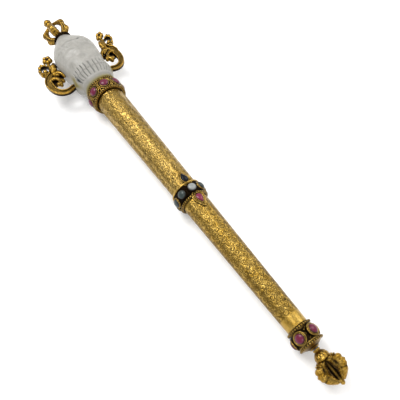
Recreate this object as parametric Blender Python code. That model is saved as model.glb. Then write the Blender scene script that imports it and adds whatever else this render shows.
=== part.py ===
"""Ritual sceptre: a gilt, jewelled shaft with a rock-crystal skull between two side scrolls,
and a half-vajra at each end.  It lies face up on the table, head towards +X."""

import math

import bmesh
import bpy
import numpy as np
from mathutils import Matrix, Vector

MM = 0.001                      # every dimension below is in millimetres, the model in metres
GAP = 0.3                       # air left between two pieces that touch

# ---- driving dimensions: places along the axis are measured from the tip of the butt ----
OVERALL = 353.5
SHAFT_FOOT = 38.1
SHAFT_HEAD = 263.6
SHAFT_FOOT_R = 6.75
SHAFT_HEAD_R = 11.0

UPPER_COLLAR = (251.5, 264.3)   # lower and upper face
UPPER_RIM_R = 13.4
UPPER_BODY_R = 12.0
UPPER_STONE_R = 2.95
UPPER_STONES = 8
UPPER_STONE_X = 257.3          # the stones sit a little below the middle of the collar
UPPER_COLLET = 1.5              # width of the setting round each stone

BAND = (139.8, 151.4)
BAND_RIM_R = 10.7
BAND_BODY_R = 9.7
BAND_STONE_R = 2.9
BAND_STONES = 8
BAND_COLLET = 0.75
BAND_TURN = 8.0                 # degrees by which the band is turned from the face
DROP_OFFSET = 9.4               # from the middle of the band to each drop-shaped stone
DROP_SIZE = (3.7, 2.4)          # half length and half width of a drop-shaped stone

LOWER_COLLAR = (23.4, 37.8)
LOWER_RIM_R = 8.3
LOWER_BODY_R = 7.0
LOWER_STONE_R = 2.95
LOWER_STONES = 5
LOWER_COLLET = 1.1
LOWER_TURN = 30.0               # degrees from the face to the first stone

SKULL_BASE = UPPER_COLLAR[1] + 2 * GAP
SKULL_HEIGHT = 59.5
HEAD_TILT = 1.6                 # degrees by which the head leans to the left of the shaft
CROWN_LEAN = 7.5                # the crown and its finial stand this far towards the face
TOOTH_TURN = 11.0               # degrees round the skull taken by one tooth
TOOTH_SPAN = 60.5               # degrees from the middle of the face to the last tooth
TOOTH_BAND = (6.0, 17.2)        # the teeth, measured up from the base of the skull
BITE_LINE = 11.6

FINIAL_TURN = -24.0             # degrees from the face to the first upper prong
BUTT_TURN = 26.0

TABLE_ANGLE = 1.05              # degrees by which the head lies higher than the butt
AXIS_HEIGHT = 10.6              # height of the axis above the table at the butt


# ---------------------------------------------------------------- small tools

def clear_scene():
    for old in list(bpy.data.objects):
        bpy.data.objects.remove(old, do_unlink=True)


def finish(name, colour, roughness, metallic, transmission=0.0):
    """One Principled material for one sub-part."""
    made = bpy.data.materials.new(name)
    made.use_nodes = True
    shader = made.node_tree.nodes["Principled BSDF"]
    shader.inputs["Base Color"].default_value = (*colour, 1.0)
    shader.inputs["Roughness"].default_value = roughness
    shader.inputs["Metallic"].default_value = metallic
    shader.inputs["Transmission Weight"].default_value = transmission
    return made


def place(name, mesh, look, parent):
    made = bpy.data.objects.new(name, mesh)
    made.data.materials.append(look)
    made.parent = parent
    bpy.context.collection.objects.link(made)
    return made


def as_guide(shape):
    """A shape that only cuts or joins: the viewport shows it as wire and no render shows it."""
    shape.hide_render = True
    shape.display_type = "WIRE"
    return shape


def combine(target, tool, operation):
    step = target.modifiers.new(operation.lower() + "_" + tool.name, "BOOLEAN")
    step.operation = operation
    step.solver = "EXACT"
    step.object = as_guide(tool)


def add_loft(work, rings, round_the_end=False):
    """Skin a row of rings with quads and close both ends; round_the_end joins last to first."""
    loops = [[work.verts.new(Vector(point) * MM) for point in ring] for ring in rings]
    pairs = list(zip(loops, loops[1:]))
    if round_the_end:
        pairs.append((loops[-1], loops[0]))
    faces = []
    for lower, upper in pairs:
        for i in range(len(lower)):
            j = (i + 1) % len(lower)
            faces.append(work.faces.new((lower[i], lower[j], upper[j], upper[i])))
    if not round_the_end:
        faces.append(work.faces.new(loops[0]))
        faces.append(work.faces.new(loops[-1]))
    bmesh.ops.recalc_face_normals(work, faces=faces)


def mesh_of(name, bodies, crease=40.0):
    """A mesh of one or more closed lofts; each body is a list of rings."""
    work = bmesh.new()
    for rings in bodies:
        add_loft(work, rings)
    return finish_mesh(name, work, crease)


def finish_mesh(name, work, crease):
    mesh = bpy.data.meshes.new(name)
    work.to_mesh(mesh)
    work.free()
    mesh.shade_smooth()
    mesh.set_sharp_from_angle(angle=math.radians(crease))
    return mesh


def turned_rings(profile, sides):
    """Rings round the X axis from (place, radius) pairs."""
    turns = [math.tau * i / sides for i in range(sides)]
    return [[(x, r * math.sin(t), r * math.cos(t)) for t in turns] for x, r in profile]


def turned_mesh(name, profile, sides, closed_loop=False):
    """A turned piece.  A closed loop of a profile gives a ring with a hole through it."""
    work = bmesh.new()
    add_loft(work, turned_rings(profile, sides), closed_loop)
    return finish_mesh(name, work, 40.0)


def rim_profile(centre, radius, wire, steps=3):
    """Half round of a rim wire, from its lower to its upper side."""
    angles = [math.pi * i / steps for i in range(steps + 1)]
    return [(centre - wire * math.cos(a), radius - wire + wire * math.sin(a)) for a in angles]


def curve_through(points, count):
    """Evenly shared samples of the smooth curve that passes through the points."""
    pts = np.array(points, dtype=float)
    padded = np.vstack([2 * pts[0] - pts[1], pts, 2 * pts[-1] - pts[-2]])
    spans = len(pts) - 1
    out = []
    for u in np.linspace(0, spans, count):
        k = min(int(u), spans - 1)
        t = u - k
        a, b, c, d = padded[k:k + 4]
        out.append(0.5 * (2 * b + (c - a) * t + (2 * a - 5 * b + 4 * c - d) * t ** 2
                          + (3 * b - a - 3 * c + d) * t ** 3))
    return np.array(out)


def smooth_value(places, values, at):
    """Value at one place on the smooth curve through (place, value) pairs."""
    slopes = np.gradient(np.array(values, dtype=float), np.array(places, dtype=float))
    k = int(np.clip(np.searchsorted(places, at) - 1, 0, len(places) - 2))
    span = places[k + 1] - places[k]
    t = (at - places[k]) / span
    low = values[k] * (1 + 2 * t) * (1 - t) ** 2 + slopes[k] * span * t * (1 - t) ** 2
    high = values[k + 1] * t ** 2 * (3 - 2 * t) - slopes[k + 1] * span * t ** 2 * (1 - t)
    return low + high


def swept_rings(path, section, lift):
    """Carry a section along a path in the XY plane: section(share) gives (across, up) pairs,
    lift(share) the height of its middle."""
    tangents = np.gradient(path, axis=0)
    tangents /= np.linalg.norm(tangents, axis=1)[:, None]
    rings = []
    for i, (x, y) in enumerate(path):
        share = i / (len(path) - 1)
        side = (-tangents[i][1], tangents[i][0])
        rings.append([(x + side[0] * a, y + side[1] * a, lift(share) + u)
                      for a, u in section(share)])
    return rings


def oval(half_across, half_up, sides):
    turns = [math.tau * (i + 0.5) / sides for i in range(sides)]
    return [(half_across * math.cos(t), half_up * math.sin(t)) for t in turns]


def outward(turn, place_x, radius):
    """Matrix that stands a piece on a turned body: its +Z points out, its +X along the axis."""
    spin = Matrix.Rotation(math.radians(turn), 4, "X")
    return spin @ Matrix.Translation((place_x * MM, 0.0, radius * MM))


def moved(rings, matrix):
    """Rings in millimetres carried by a matrix that is in metres."""
    return [[tuple((matrix @ (Vector(p) * MM)) / MM) for p in ring] for ring in rings]


def post_rings(radius, low, high, sides):
    turns = [math.tau * (i + 0.5) / sides for i in range(sides)]
    disc = [(radius * math.cos(t), radius * math.sin(t)) for t in turns]
    return [[(x, y, z) for x, y in disc] for z in (low, high)]


def drop_outline(half_length, half_width, sides, grow=0.0):
    """Pear outline with its point at +X; grow widens it evenly all round."""
    points = []
    for i in range(sides):
        t = math.tau * i / sides
        x = (half_length + grow * 1.5) * math.cos(t)
        y = (half_width + grow) * 1.25 * math.sin(t) * abs(math.sin(t / 2))
        points.append((x, y))
    return points


def cabochon_rings(outline, height):
    """A domed stone over an outline: straight girdle, then a round crown."""
    steps = ((1.0, 0.0), (1.0, 0.3), (0.6, 0.9))
    return [[(x * share, y * share, height * lift) for x, y in outline]
            for share, lift in steps]


def round_outline(radius, sides):
    turns = [math.tau * i / sides for i in range(sides)]
    return [(radius * math.cos(t), radius * math.sin(t)) for t in turns]


# ---------------------------------------------------------------- shaft and jewelled bands

def shaft_radius(x):
    share = (x - SHAFT_FOOT) / (SHAFT_HEAD - SHAFT_FOOT)
    return SHAFT_FOOT_R + (SHAFT_HEAD_R - SHAFT_FOOT_R) * share


def make_shaft(gilt, frame):
    ends = [(x, shaft_radius(x)) for x in (SHAFT_FOOT, SHAFT_HEAD)]
    return place("shaft", turned_mesh("shaft", ends, 40), gilt, frame)


def set_stones(collar, frame, looks, names, turns, middle, stone_r, wall, levels, height):
    """Collets round a collar with a stone in each.  wall is a collet's width; levels holds the
    radii, from the axis, of its root, of its seat and of its lip."""
    root, seat, lip = levels
    sides = 8
    collets = []
    seats = []
    for name, look, turn in zip(names, looks, turns):
        stand = outward(turn, middle, 0.0)
        collets.append(moved(post_rings(stone_r + wall, root, lip, sides), stand))
        seats.append(moved(post_rings(stone_r + GAP, seat, lip + 1.0, sides), stand))
        stone = moved(cabochon_rings(round_outline(stone_r - 0.1, sides), height),
                      outward(turn, middle, seat + GAP))
        place(name, mesh_of(name, [stone]), look, frame)
    label = collar.name
    combine(collar, place(label + "_collets", mesh_of(label + "_collets", collets),
                          collar.data.materials[0], frame), "UNION")
    combine(collar, place(label + "_seats", mesh_of(label + "_seats", seats),
                          collar.data.materials[0], frame), "DIFFERENCE")


def make_upper_collar(gilt, ruby, frame):
    low, high = UPPER_COLLAR
    wire = 0.85
    bore = SHAFT_HEAD_R + GAP
    profile = [(low + 1.9, bore), (low + 1.5, UPPER_BODY_R + 0.1), (low, UPPER_BODY_R + 0.2)]
    profile += rim_profile(low + wire, UPPER_RIM_R, wire)[1:]
    profile += [(low + 2 * wire + 0.3, UPPER_BODY_R), (high - 2 * wire - 0.3, UPPER_BODY_R)]
    profile += rim_profile(high - wire, UPPER_RIM_R, wire)
    profile += [(high, bore)]
    collar = place("upper_collar", turned_mesh("upper_collar", profile, 28, True), gilt, frame)
    names = [f"ruby_upper_{i + 1}" for i in range(UPPER_STONES)]
    turns = [360.0 * i / UPPER_STONES for i in range(UPPER_STONES)]
    set_stones(collar, frame, [ruby] * UPPER_STONES, names, turns, UPPER_STONE_X,
               UPPER_STONE_R, UPPER_COLLET, (bore + 0.3, 12.7, 13.8), 2.1)


def make_band(gilt, looks, frame):
    low, high = BAND
    middle = (low + high) / 2
    wire = 0.85
    profile = rim_profile(low + wire, BAND_RIM_R, wire)
    profile += [(low + 2 * wire + 0.3, BAND_BODY_R), (high - 2 * wire - 0.3, BAND_BODY_R)]
    profile += rim_profile(high - wire, BAND_RIM_R, wire)
    band = place("mid_band", turned_mesh("mid_band", profile, 28), gilt, frame)
    bezels = []
    seats = []
    for name, side in (("sapphire_drop", 1), ("ruby_drop", -1)):
        x = middle + side * DROP_OFFSET
        floor = shaft_radius(x) + GAP + 0.5
        stand = Matrix.Translation((x * MM, 0, 0))
        aim = Matrix.Rotation(math.radians(BAND_TURN), 4, "X")
        facing = stand @ aim @ Matrix.Rotation(0.0 if side > 0 else math.pi, 4, "Z")
        outer = drop_outline(*DROP_SIZE, 12, 1.6)
        inner = drop_outline(*DROP_SIZE, 12, GAP)
        stone = drop_outline(*DROP_SIZE, 12, -0.05)
        bezels.append(moved([[(a, b, z) for a, b in outer] for z in (6.0, floor + 1.1)], facing))
        seats.append(moved([[(a, b, z) for a, b in inner] for z in (floor, floor + 2.5)], facing))
        lifted = [[(a, b, z + floor + GAP) for a, b, z in ring]
                  for ring in cabochon_rings(stone, 1.6)]
        place(name, mesh_of(name, [moved(lifted, facing)]), looks[name], frame)
    combine(band, place("drop_bezels", mesh_of("drop_bezels", bezels), gilt, frame), "UNION")
    combine(band, place("drop_seats", mesh_of("drop_seats", seats), gilt, frame), "DIFFERENCE")
    names = [f"stone_band_{i + 1}" for i in range(BAND_STONES)]
    turns = [BAND_TURN + 360.0 * i / BAND_STONES for i in range(BAND_STONES)]
    stones = [looks["moonstone"]] + [looks["dark_stone"]] * (BAND_STONES - 1)
    set_stones(band, frame, stones, names, turns, middle, BAND_STONE_R,
               BAND_COLLET, (BAND_BODY_R - 0.9, 10.2, 11.0), 1.9)
    reach = DROP_OFFSET + 12.0
    bore = [(x, shaft_radius(x) + GAP) for x in (middle - reach, middle + reach)]
    combine(band, place("band_bore", turned_mesh("band_bore", bore, 28), gilt, frame),
            "DIFFERENCE")


def make_lower_collar(gilt, ruby, frame):
    foot, high = LOWER_COLLAR
    wire = 0.8
    low = foot + 2.4
    profile = [(foot, 2.3), (foot + 0.3, 2.9)]
    profile += rim_profile(low + wire, LOWER_RIM_R, wire)
    profile += [(low + 2 * wire + 0.3, LOWER_BODY_R), (high - 2 * wire - 0.3, LOWER_BODY_R)]
    profile += rim_profile(high - wire, LOWER_RIM_R, wire)
    collar = place("lower_collar", turned_mesh("lower_collar", profile, 24), gilt, frame)
    names = [f"ruby_lower_{i + 1}" for i in range(LOWER_STONES)]
    turns = [LOWER_TURN + 360.0 * i / LOWER_STONES for i in range(LOWER_STONES)]
    set_stones(collar, frame, [ruby] * LOWER_STONES, names, turns, (low + high) / 2,
               LOWER_STONE_R, LOWER_COLLET, (LOWER_BODY_R - 2.0, 7.6, 8.6), 2.0)


# ---------------------------------------------------------------- half-vajra finials

def make_finial(name, core, route, prong, turn, frame, gilt):
    """A turned core and four curled prongs.  core and route hold (place, radius) pairs; prong
    holds half thicknesses shared evenly along the route, across it ("deep") and round the
    axis ("wide"), and where the curl on each prong's back lies from its thickest place."""
    piece = place(name, turned_mesh(name, core, 10), gilt, frame)
    path = curve_through(route, 9)
    prongs = []
    curls = []

    def section(share):
        places = [i / (len(prong["deep"]) - 1) for i in range(len(prong["deep"]))]
        return oval(float(np.interp(share, places, prong["deep"])),
                    float(np.interp(share, places, prong["wide"])), 6)

    flat = swept_rings(path, section, lambda share: 0.0)
    tip = path[int(round(prong["head"] * (len(path) - 1)))]
    for k in range(4):
        spin = Matrix.Rotation(math.radians(turn + 90.0 * k), 4, "X")
        upright = spin @ Matrix.Rotation(math.radians(90.0), 4, "X")
        prongs.append(moved(flat, upright))
        curl = curl_rings(tip[0] + prong["curl"][0], tip[1] + prong["curl"][1])
        curls.append(moved(curl, upright))
    combine(piece, place(name + "_prongs", mesh_of(name + "_prongs", prongs), gilt, frame),
            "UNION")
    combine(piece, place(name + "_curls", mesh_of(name + "_curls", curls), gilt, frame),
            "UNION")
    return piece


def curl_rings(x, y, radius=1.6, thick=2.2):
    """The small rolled curl on the back of a prong: a short drum with softened edges."""
    turns = [math.tau * i / 6 for i in range(6)]
    levels = ((0.65, -1.0), (1.0, 0.0), (0.65, 1.0))
    return [[(x + radius * share * math.cos(t), y + radius * share * math.sin(t), thick * up)
             for t in turns] for share, up in levels]


def make_top_finial(gilt, frame):
    base = SKULL_BASE + SKULL_HEIGHT + GAP
    tip = OVERALL - base
    core = [(0.0, 5.6), (0.4, 6.2), (1.2, 6.2), (1.8, 4.2), (4.0, 3.3), (7.5, 1.7),
            (17.0, 1.5), (19.8, 2.0), (21.2, 2.1), (21.8, 1.6), (23.0, 2.3), (25.0, 2.5),
            (27.0, 1.7), (tip, 0.3)]
    core = [(base + x, r) for x, r in core]
    route = [(3.0, 2.4), (5.2, 4.6), (7.8, 6.7), (10.6, 7.9), (13.6, 7.6), (16.8, 5.5),
             (20.3, 1.9)]
    route = [(base + x, r) for x, r in route]
    prong = {"head": 0.38, "deep": (1.8, 2.6, 3.1, 3.1, 2.1, 1.6, 1.1),
             "wide": (1.9, 2.7, 3.1, 2.8, 1.9, 1.6, 1.1), "curl": (-2.0, 1.5)}
    lean = Matrix.Translation((0.0, 0.0, CROWN_LEAN * MM))
    finial = make_finial("top_finial", core, route, prong, FINIAL_TURN, frame, gilt)
    for shape in [finial] + [step.object for step in finial.modifiers]:
        shape.data.transform(lean)


def make_butt_finial(gilt, frame):
    base = LOWER_COLLAR[0] - GAP
    core = [(0.0, 1.8), (0.3, 2.3), (1.0, 2.3), (1.3, 1.9), (2.2, 3.1), (3.6, 4.1),
            (5.4, 4.6), (6.9, 4.7), (7.5, 4.2), (8.4, 2.2), (18.0, 1.5),
            (20.6, 1.7), (21.2, 1.2), (22.0, 1.25), (base, 0.25)]
    core = [(base - x, r) for x, r in core]
    route = [(7.9, 2.4), (9.4, 4.8), (11.2, 6.5), (13.2, 7.2), (15.4, 6.7), (17.8, 4.9),
             (20.6, 1.9)]
    route = [(base - x, r) for x, r in route]
    prong = {"head": 0.44, "deep": (1.8, 3.2, 4.3, 4.65, 4.2, 2.8, 1.1),
             "wide": (1.8, 2.9, 3.5, 3.6, 3.3, 2.4, 1.0), "curl": (2.2, 2.5)}
    return make_finial("butt_finial", core, route, prong, BUTT_TURN, frame, gilt)


# ---------------------------------------------------------------- the crystal skull

# height above the base, half width, lean of the middle towards the face, half depth
SKULL_SHAPE = (
    (0.0, 12.7, 0.4, 12.3),
    (2.4, 12.5, 0.6, 11.9),
    (4.8, 12.9, 0.9, 11.7),
    (7.3, 14.6, 1.3, 12.2),
    (10.2, 16.1, 1.6, 13.2),
    (13.8, 15.6, 1.7, 14.6),
    (18.4, 15.5, 1.45, 15.85),
    (24.2, 15.9, 1.25, 16.95),
    (30.0, 16.6, 1.3, 17.7),
    (36.8, 17.2, 1.55, 17.95),
    (42.6, 16.6, 1.95, 16.85),
    (48.4, 14.4, 2.85, 14.15),
    (53.2, 11.2, 4.1, 10.8),
    (57.0, 7.8, 5.8, 7.5),
    (SKULL_HEIGHT, 4.9, CROWN_LEAN, 4.9),
)
# how boxy the section of the face is at each height; 2 is a pure oval, and the back stays at 2.3
SQUARENESS = ((14.0, 2.3), (26.0, 3.0), (44.0, 3.0), (54.0, 2.3))
BACK_SQUARENESS = 2.3
EYE_PLACE = (36.0, -2.0)        # the round eye: height above the base, and place across the face


def bump(along, across, middle, size):
    """1 in the middle of a soft oval spot, fading to 0 beyond its size."""
    u = (along - middle[0]) / size[0]
    v = (across - middle[1]) / size[1]
    return math.exp(-(u * u + v * v))


def skull_point(height, turn):
    """A point of the skull from its height above the base and the turn, in degrees, from the
    middle of the face."""
    places = [row[0] for row in SKULL_SHAPE]
    half, lean, depth = [smooth_value(places, [row[k] for row in SKULL_SHAPE], height)
                         for k in (1, 2, 3)]
    s = math.sin(math.radians(turn))
    c = math.cos(math.radians(turn))
    boxy = BACK_SQUARENESS
    if c > 0:
        boxy = float(np.interp(height, *zip(*SQUARENESS)))
    y = half * math.copysign(abs(s) ** (2 / boxy), s)
    z = lean + depth * math.copysign(abs(c) ** (2 / boxy), c)
    if c <= 0:
        return y, z
    side = abs(y)
    z -= 3.6 * bump(height, side, (28.8, 7.6), (3.7, 4.1))      # eye sockets
    z -= 2.4 * bump(height, side, (21.9, 1.2), (2.5, 2.0))      # nose
    z += 0.9 * bump(height, side, (26.4, 0.0), (3.2, 1.6))      # bridge of the nose
    z += 1.0 * bump(height, side, (33.2, 6.5), (1.7, 4.6))      # brows
    z += 1.2 * bump(height, side, (22.6, 11.0), (2.6, 2.8))     # cheekbones
    z -= 1.3 * bump(height, side, (18.6, 13.2), (2.8, 2.2))     # hollows under them
    ring = math.hypot(height - EYE_PLACE[0], y - EYE_PLACE[1])
    z += 0.6 * math.exp(-((ring - 3.2) / 0.9) ** 2)             # round eye on the forehead
    z += 0.5 * math.exp(-(ring / 1.2) ** 2)
    low, high = TOOTH_BAND
    if low < height < high and abs(turn) < TOOTH_SPAN + 1.0:
        gap = 0.5 - 0.5 * math.cos(math.tau * turn / TOOTH_TURN + math.pi)
        shrink = 1.0 - 0.05 * gap
        y *= shrink
        z *= shrink
    z -= 0.6 * bump(height, 0.0, (BITE_LINE, 0.0), (0.5, 1.0)) * (abs(turn) < TOOTH_SPAN)
    return y, z


def make_skull(crystal, frame):
    low, high = TOOTH_BAND
    rows = [0.0, 1.8, 4.2, low - 0.2, low + 0.5, BITE_LINE - 0.8, BITE_LINE, BITE_LINE + 0.8,
            high - 0.5, high + 0.2, 19.4, 21.6, 23.8, 26.2, 28.6, 31.0, 33.0, 34.6, 36.2,
            37.8, 39.4, 41.4, 44.6, 48.0, 51.4, 54.6, 57.4, SKULL_HEIGHT]
    half_tooth = TOOTH_TURN / 2
    count = int(TOOTH_SPAN / half_tooth)
    turns = [half_tooth * i for i in range(-count, count + 1)]
    rest = 360.0 - 2 * TOOTH_SPAN
    around = 11
    turns += [TOOTH_SPAN + rest * i / around for i in range(1, around)]
    rings = []
    for height in rows:
        ring = []
        for turn in turns:
            wrapped = turn if turn <= 180.0 else turn - 360.0
            y, z = skull_point(height, wrapped)
            ring.append((SKULL_BASE + height, -y, z))
        rings.append(ring)
    return place("crystal_skull", mesh_of("crystal_skull", [rings], 30.0), crystal, frame)


# ---------------------------------------------------------------- side scrolls

SCROLL_MIDDLE = 1.4             # height of the middle of the strap above the axis
STRAP_HALF = 1.8                # half its thickness
SCROLL_ROOT = 17.2              # reach at which the strap leaves the jaw
FAN_START = 292.0               # place from which a scroll may bend further outwards
FAN_RUN = 18.0                  # length over which it bends by its full fan


def strap_section(half):
    """A strap with raised edges and a sunk middle, as (across, up) pairs."""
    t = STRAP_HALF
    return [(-half, t - 0.3), (-half * 0.8, t), (-half * 0.42, t - 0.7), (half * 0.42, t - 0.7),
            (half * 0.8, t), (half, t - 0.3), (half * 0.86, -t), (-half * 0.86, -t)]


def tapered(values, thick, sides):
    """Section function of a lobe: values are half widths shared evenly along it."""
    places = [i / (len(values) - 1) for i in range(len(values))]

    def section(share):
        return oval(float(np.interp(share, places, values)),
                    thick * (0.45 + 0.55 * math.sin(math.pi * min(1.0, share * 0.8 + 0.2))),
                    sides)
    return section


def make_scroll(name, side, spread, fan, gilt, frame):
    """One side scroll; side is +1 or -1, spread how far it is opened out from the skull, fan
    how much further its upper end bends outwards."""
    def level(share):
        return SCROLL_MIDDLE

    def mirrored(rings):
        return [[(x, side * (SCROLL_ROOT + (y - SCROLL_ROOT) * spread
                             + fan * max(0.0, (x - FAN_START) / FAN_RUN)), z)
                 for x, y, z in ring] for ring in rings]

    def lobe(label, points, widths, thick, count, lift=level, sides=6):
        rings = swept_rings(curve_through(points, count), tapered(widths, thick, sides), lift)
        return place(name + label, mesh_of(name + label, [mirrored(rings)]), gilt, frame)

    stem_route = [(278.2, SCROLL_ROOT), (277.4, 19.8), (277.2, 23.2), (279.0, 27.4), (283.0, 30.2),
                  (288.0, 31.3), (293.2, 31.0), (297.4, 28.8), (300.2, 25.8), (303.4, 23.4),
                  (307.4, 21.6)]
    widths = [2.1, 2.1, 2.15, 2.3, 2.6, 2.9, 3.0, 2.7, 2.3, 2.0, 1.7]
    shares = [i / (len(widths) - 1) for i in range(len(widths))]
    rings = swept_rings(curve_through(stem_route, 16),
                        lambda share: strap_section(float(np.interp(share, shares, widths))),
                        level)
    scroll = place(name, mesh_of(name, [mirrored(rings)]), gilt, frame)

    bead_rings = turned_rings([(-1.6, 0.6), (-0.8, 1.5), (0.8, 1.5), (1.6, 0.6)], 6)
    bead_place = (307.0, 27.0, SCROLL_MIDDLE + 0.4)
    bead_rings = [[tuple(np.add(point, bead_place)) for point in ring] for ring in bead_rings]

    petal = bmesh.new()
    add_loft(petal, mirrored(petal_ring()), True)
    pieces = [
        place(name + "_ring", finish_mesh(name + "_ring", petal, 40.0), gilt, frame),
        lobe("_curl", [(297.3, 29.8), (296.4, 27.2), (295.8, 24.8), (294.0, 22.9), (291.5, 22.2),
                       (289.0, 22.8), (287.8, 24.8), (288.6, 26.8)],
             [1.6, 2.0, 1.9, 1.8, 1.9, 2.0, 2.0, 1.5], 2.1, 9),
        lobe("_leaf_a", [(300.6, 25.6), (301.0, 21.6), (298.8, 19.4), (296.2, 18.4)],
             [2.0, 3.1, 2.8, 1.2], 2.3, 5),
        lobe("_leaf_b", [(289.6, 23.4), (289.4, 21.2), (290.2, 19.2)], [2.0, 2.6, 1.4], 2.1, 4),
        lobe("_leaf_c", [(303.6, 23.4), (307.0, 20.8), (310.6, 18.8), (313.4, 17.4)],
             [1.6, 2.4, 2.2, 0.8], 2.1, 5),
        lobe("_bud", [(305.8, 22.2), (309.6, 21.2), (313.0, 20.5), (316.0, 20.0), (318.4, 19.7)],
             [1.3, 1.8, 3.2, 3.9, 2.4], 2.9, 8,
             lambda share: SCROLL_MIDDLE + 3.4 * share, 8),
        place(name + "_bead", mesh_of(name + "_bead", [mirrored(bead_rings)]), gilt, frame),
    ]
    for piece in pieces:
        combine(scroll, piece, "UNION")


RING_OUTSIDE = ((308.5, 26.8), (6.4, 4.9))      # middle, and half length and half width
RING_HOLE = ((309.3, 25.7), (3.0, 2.5))


def petal_ring(count=15):
    """The upright ring of a scroll: fleshy on its outer side, where it swells into petals."""
    outside, hole = RING_OUTSIDE, RING_HOLE
    rings = []
    for i in range(count):
        turn = math.tau * i / count
        way = np.array((math.cos(turn), math.sin(turn)))
        petal = 1.0 + 0.10 * (0.5 + 0.5 * math.cos(math.tau * i / 3)) * (way[1] > -0.5)
        far = np.array(outside[0]) + way * outside[1] * petal
        near = np.array(hole[0]) + way * hole[1]
        middle = (far + near) / 2
        across = (far - near) / 2
        rings.append([(*(middle + across * a), SCROLL_MIDDLE + u) for a, u in oval(1.0, 2.2, 6)])
    return rings


# ---------------------------------------------------------------- the whole sceptre

def rest_flat(piece, table):
    """A small flat where the piece touches the table, so that the sceptre cannot roll."""
    combine(piece, table, "DIFFERENCE")


def main():
    clear_scene()
    gilt = finish("fire_gilt_metal", (0.62, 0.42, 0.12), 0.32, 1.0)
    ruby = finish("ruby", (0.42, 0.03, 0.12), 0.12, 0.0, 0.3)
    crystal = finish("rock_crystal", (0.80, 0.79, 0.77), 0.08, 0.0, 0.8)
    looks = {
        "sapphire_drop": finish("sapphire", (0.02, 0.03, 0.07), 0.12, 0.0, 0.2),
        "ruby_drop": finish("drop_ruby", (0.45, 0.03, 0.14), 0.12, 0.0, 0.3),
        "moonstone": finish("moonstone", (0.62, 0.64, 0.64), 0.15, 0.0, 0.3),
        "dark_stone": finish("dark_green_stone", (0.05, 0.08, 0.08), 0.15, 0.0, 0.2),
    }

    frame = bpy.data.objects.new("axis", None)
    bpy.context.collection.objects.link(frame)
    head = bpy.data.objects.new("head", None)
    bpy.context.collection.objects.link(head)
    lean = math.radians(HEAD_TILT)
    head.parent = frame
    head.rotation_euler = (0.0, 0.0, lean)
    head.location = (SKULL_BASE * (1 - math.cos(lean)) * MM, -SKULL_BASE * math.sin(lean) * MM, 0.0)
    slope = math.radians(TABLE_ANGLE)
    frame.rotation_euler = (0.0, -slope, 0.0)
    frame.location = (-OVERALL / 2 * math.cos(slope) * MM, 0.0, AXIS_HEIGHT * MM)

    table = bpy.data.objects.new("table", bpy.data.meshes.new("table"))
    bpy.context.collection.objects.link(table)
    work = bmesh.new()
    bmesh.ops.create_cube(work, size=1.0, matrix=Matrix.Diagonal((0.6, 0.2, 0.02, 1.0)))
    work.to_mesh(table.data)
    work.free()
    table.location = (0.0, 0.0, -0.01)

    make_shaft(gilt, frame)
    make_upper_collar(gilt, ruby, frame)
    make_band(gilt, looks, frame)
    make_lower_collar(gilt, ruby, frame)
    make_top_finial(gilt, head)
    butt = make_butt_finial(gilt, frame)
    skull = make_skull(crystal, head)
    make_scroll("scroll_left", 1, 0.96, 0.0, gilt, head)
    make_scroll("scroll_right", -1, 0.88, 6.5, gilt, head)
    rest_flat(skull, table)
    rest_flat(butt, table)


main()
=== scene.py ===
import math

import bpy
import numpy as np
from mathutils import Matrix, Vector


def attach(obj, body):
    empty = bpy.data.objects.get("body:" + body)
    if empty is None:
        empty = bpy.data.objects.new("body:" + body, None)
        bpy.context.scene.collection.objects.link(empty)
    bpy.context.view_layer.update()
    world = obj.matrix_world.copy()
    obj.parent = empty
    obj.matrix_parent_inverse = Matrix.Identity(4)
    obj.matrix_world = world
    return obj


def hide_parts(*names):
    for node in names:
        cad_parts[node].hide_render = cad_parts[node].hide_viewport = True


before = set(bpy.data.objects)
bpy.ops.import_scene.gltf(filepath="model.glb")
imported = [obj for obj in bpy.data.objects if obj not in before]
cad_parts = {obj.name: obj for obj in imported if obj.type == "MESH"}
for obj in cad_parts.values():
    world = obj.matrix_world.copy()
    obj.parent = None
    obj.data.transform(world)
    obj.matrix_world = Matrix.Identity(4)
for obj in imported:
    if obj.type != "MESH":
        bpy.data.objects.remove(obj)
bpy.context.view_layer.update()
print("frame loaded")

# Lengths are in millimetres along the sceptre: x runs up the shaft from the butt's tip, z out
# of the skull's face, y to the left of the face.  standing() turns them into metres on the
# table.
millimetre = 0.001
pose = {
    "length": 353.5,
    "tableAngle": 1.05,      # degrees by which the head lies higher than the butt
    "axisHeight": 10.6,
    "headLean": 1.6,         # degrees by which the head leans to its left
    "headFoot": 264.9,
}


view = {
    "place": (-0.17788, 0.09252, 0.28156),
    "lookAt": (-0.03615, -0.00437, 0.01151),
    "roll": -1.13,
    "lens": 43.2,
}


def makeCamera():
    camera = bpy.data.objects.new("camera", bpy.data.cameras.new("camera"))
    bpy.context.collection.objects.link(camera)
    camera.data.lens = view["lens"]
    camera.data.sensor_width = 36.0
    camera.data.clip_start = 0.01
    aim = Vector(view["lookAt"]) - Vector(view["place"])
    turn = aim.to_track_quat("-Z", "Y").to_matrix().to_4x4()
    roll = Matrix.Rotation(math.radians(view["roll"]), 4, "Z")
    camera.matrix_world = Matrix.Translation(view["place"]) @ turn @ roll
    bpy.context.scene.camera = camera


studio = {
    "floorColour": (0.93, 0.93, 0.93),
    "worldColour": (1.0, 1.0, 1.0),
    "worldStrength": 0.75,
    "floorGlow": 0.11,       # the paper is lit from behind a little, which lightens shadows
    # name: place, size, power, colour
    "lamps": {
        "keySoftbox": ((0.10, -0.85, 0.80), 0.60, 4.0, (1.0, 0.99, 0.97)),
        "topSoftbox": ((0.40, 0.20, 0.85), 0.48, 6.0, (1.0, 1.0, 1.0)),
        "sideSoftbox": ((-0.70, 0.35, 0.75), 0.35, 1.6, (1.0, 1.0, 1.0)),
    },
}


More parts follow.
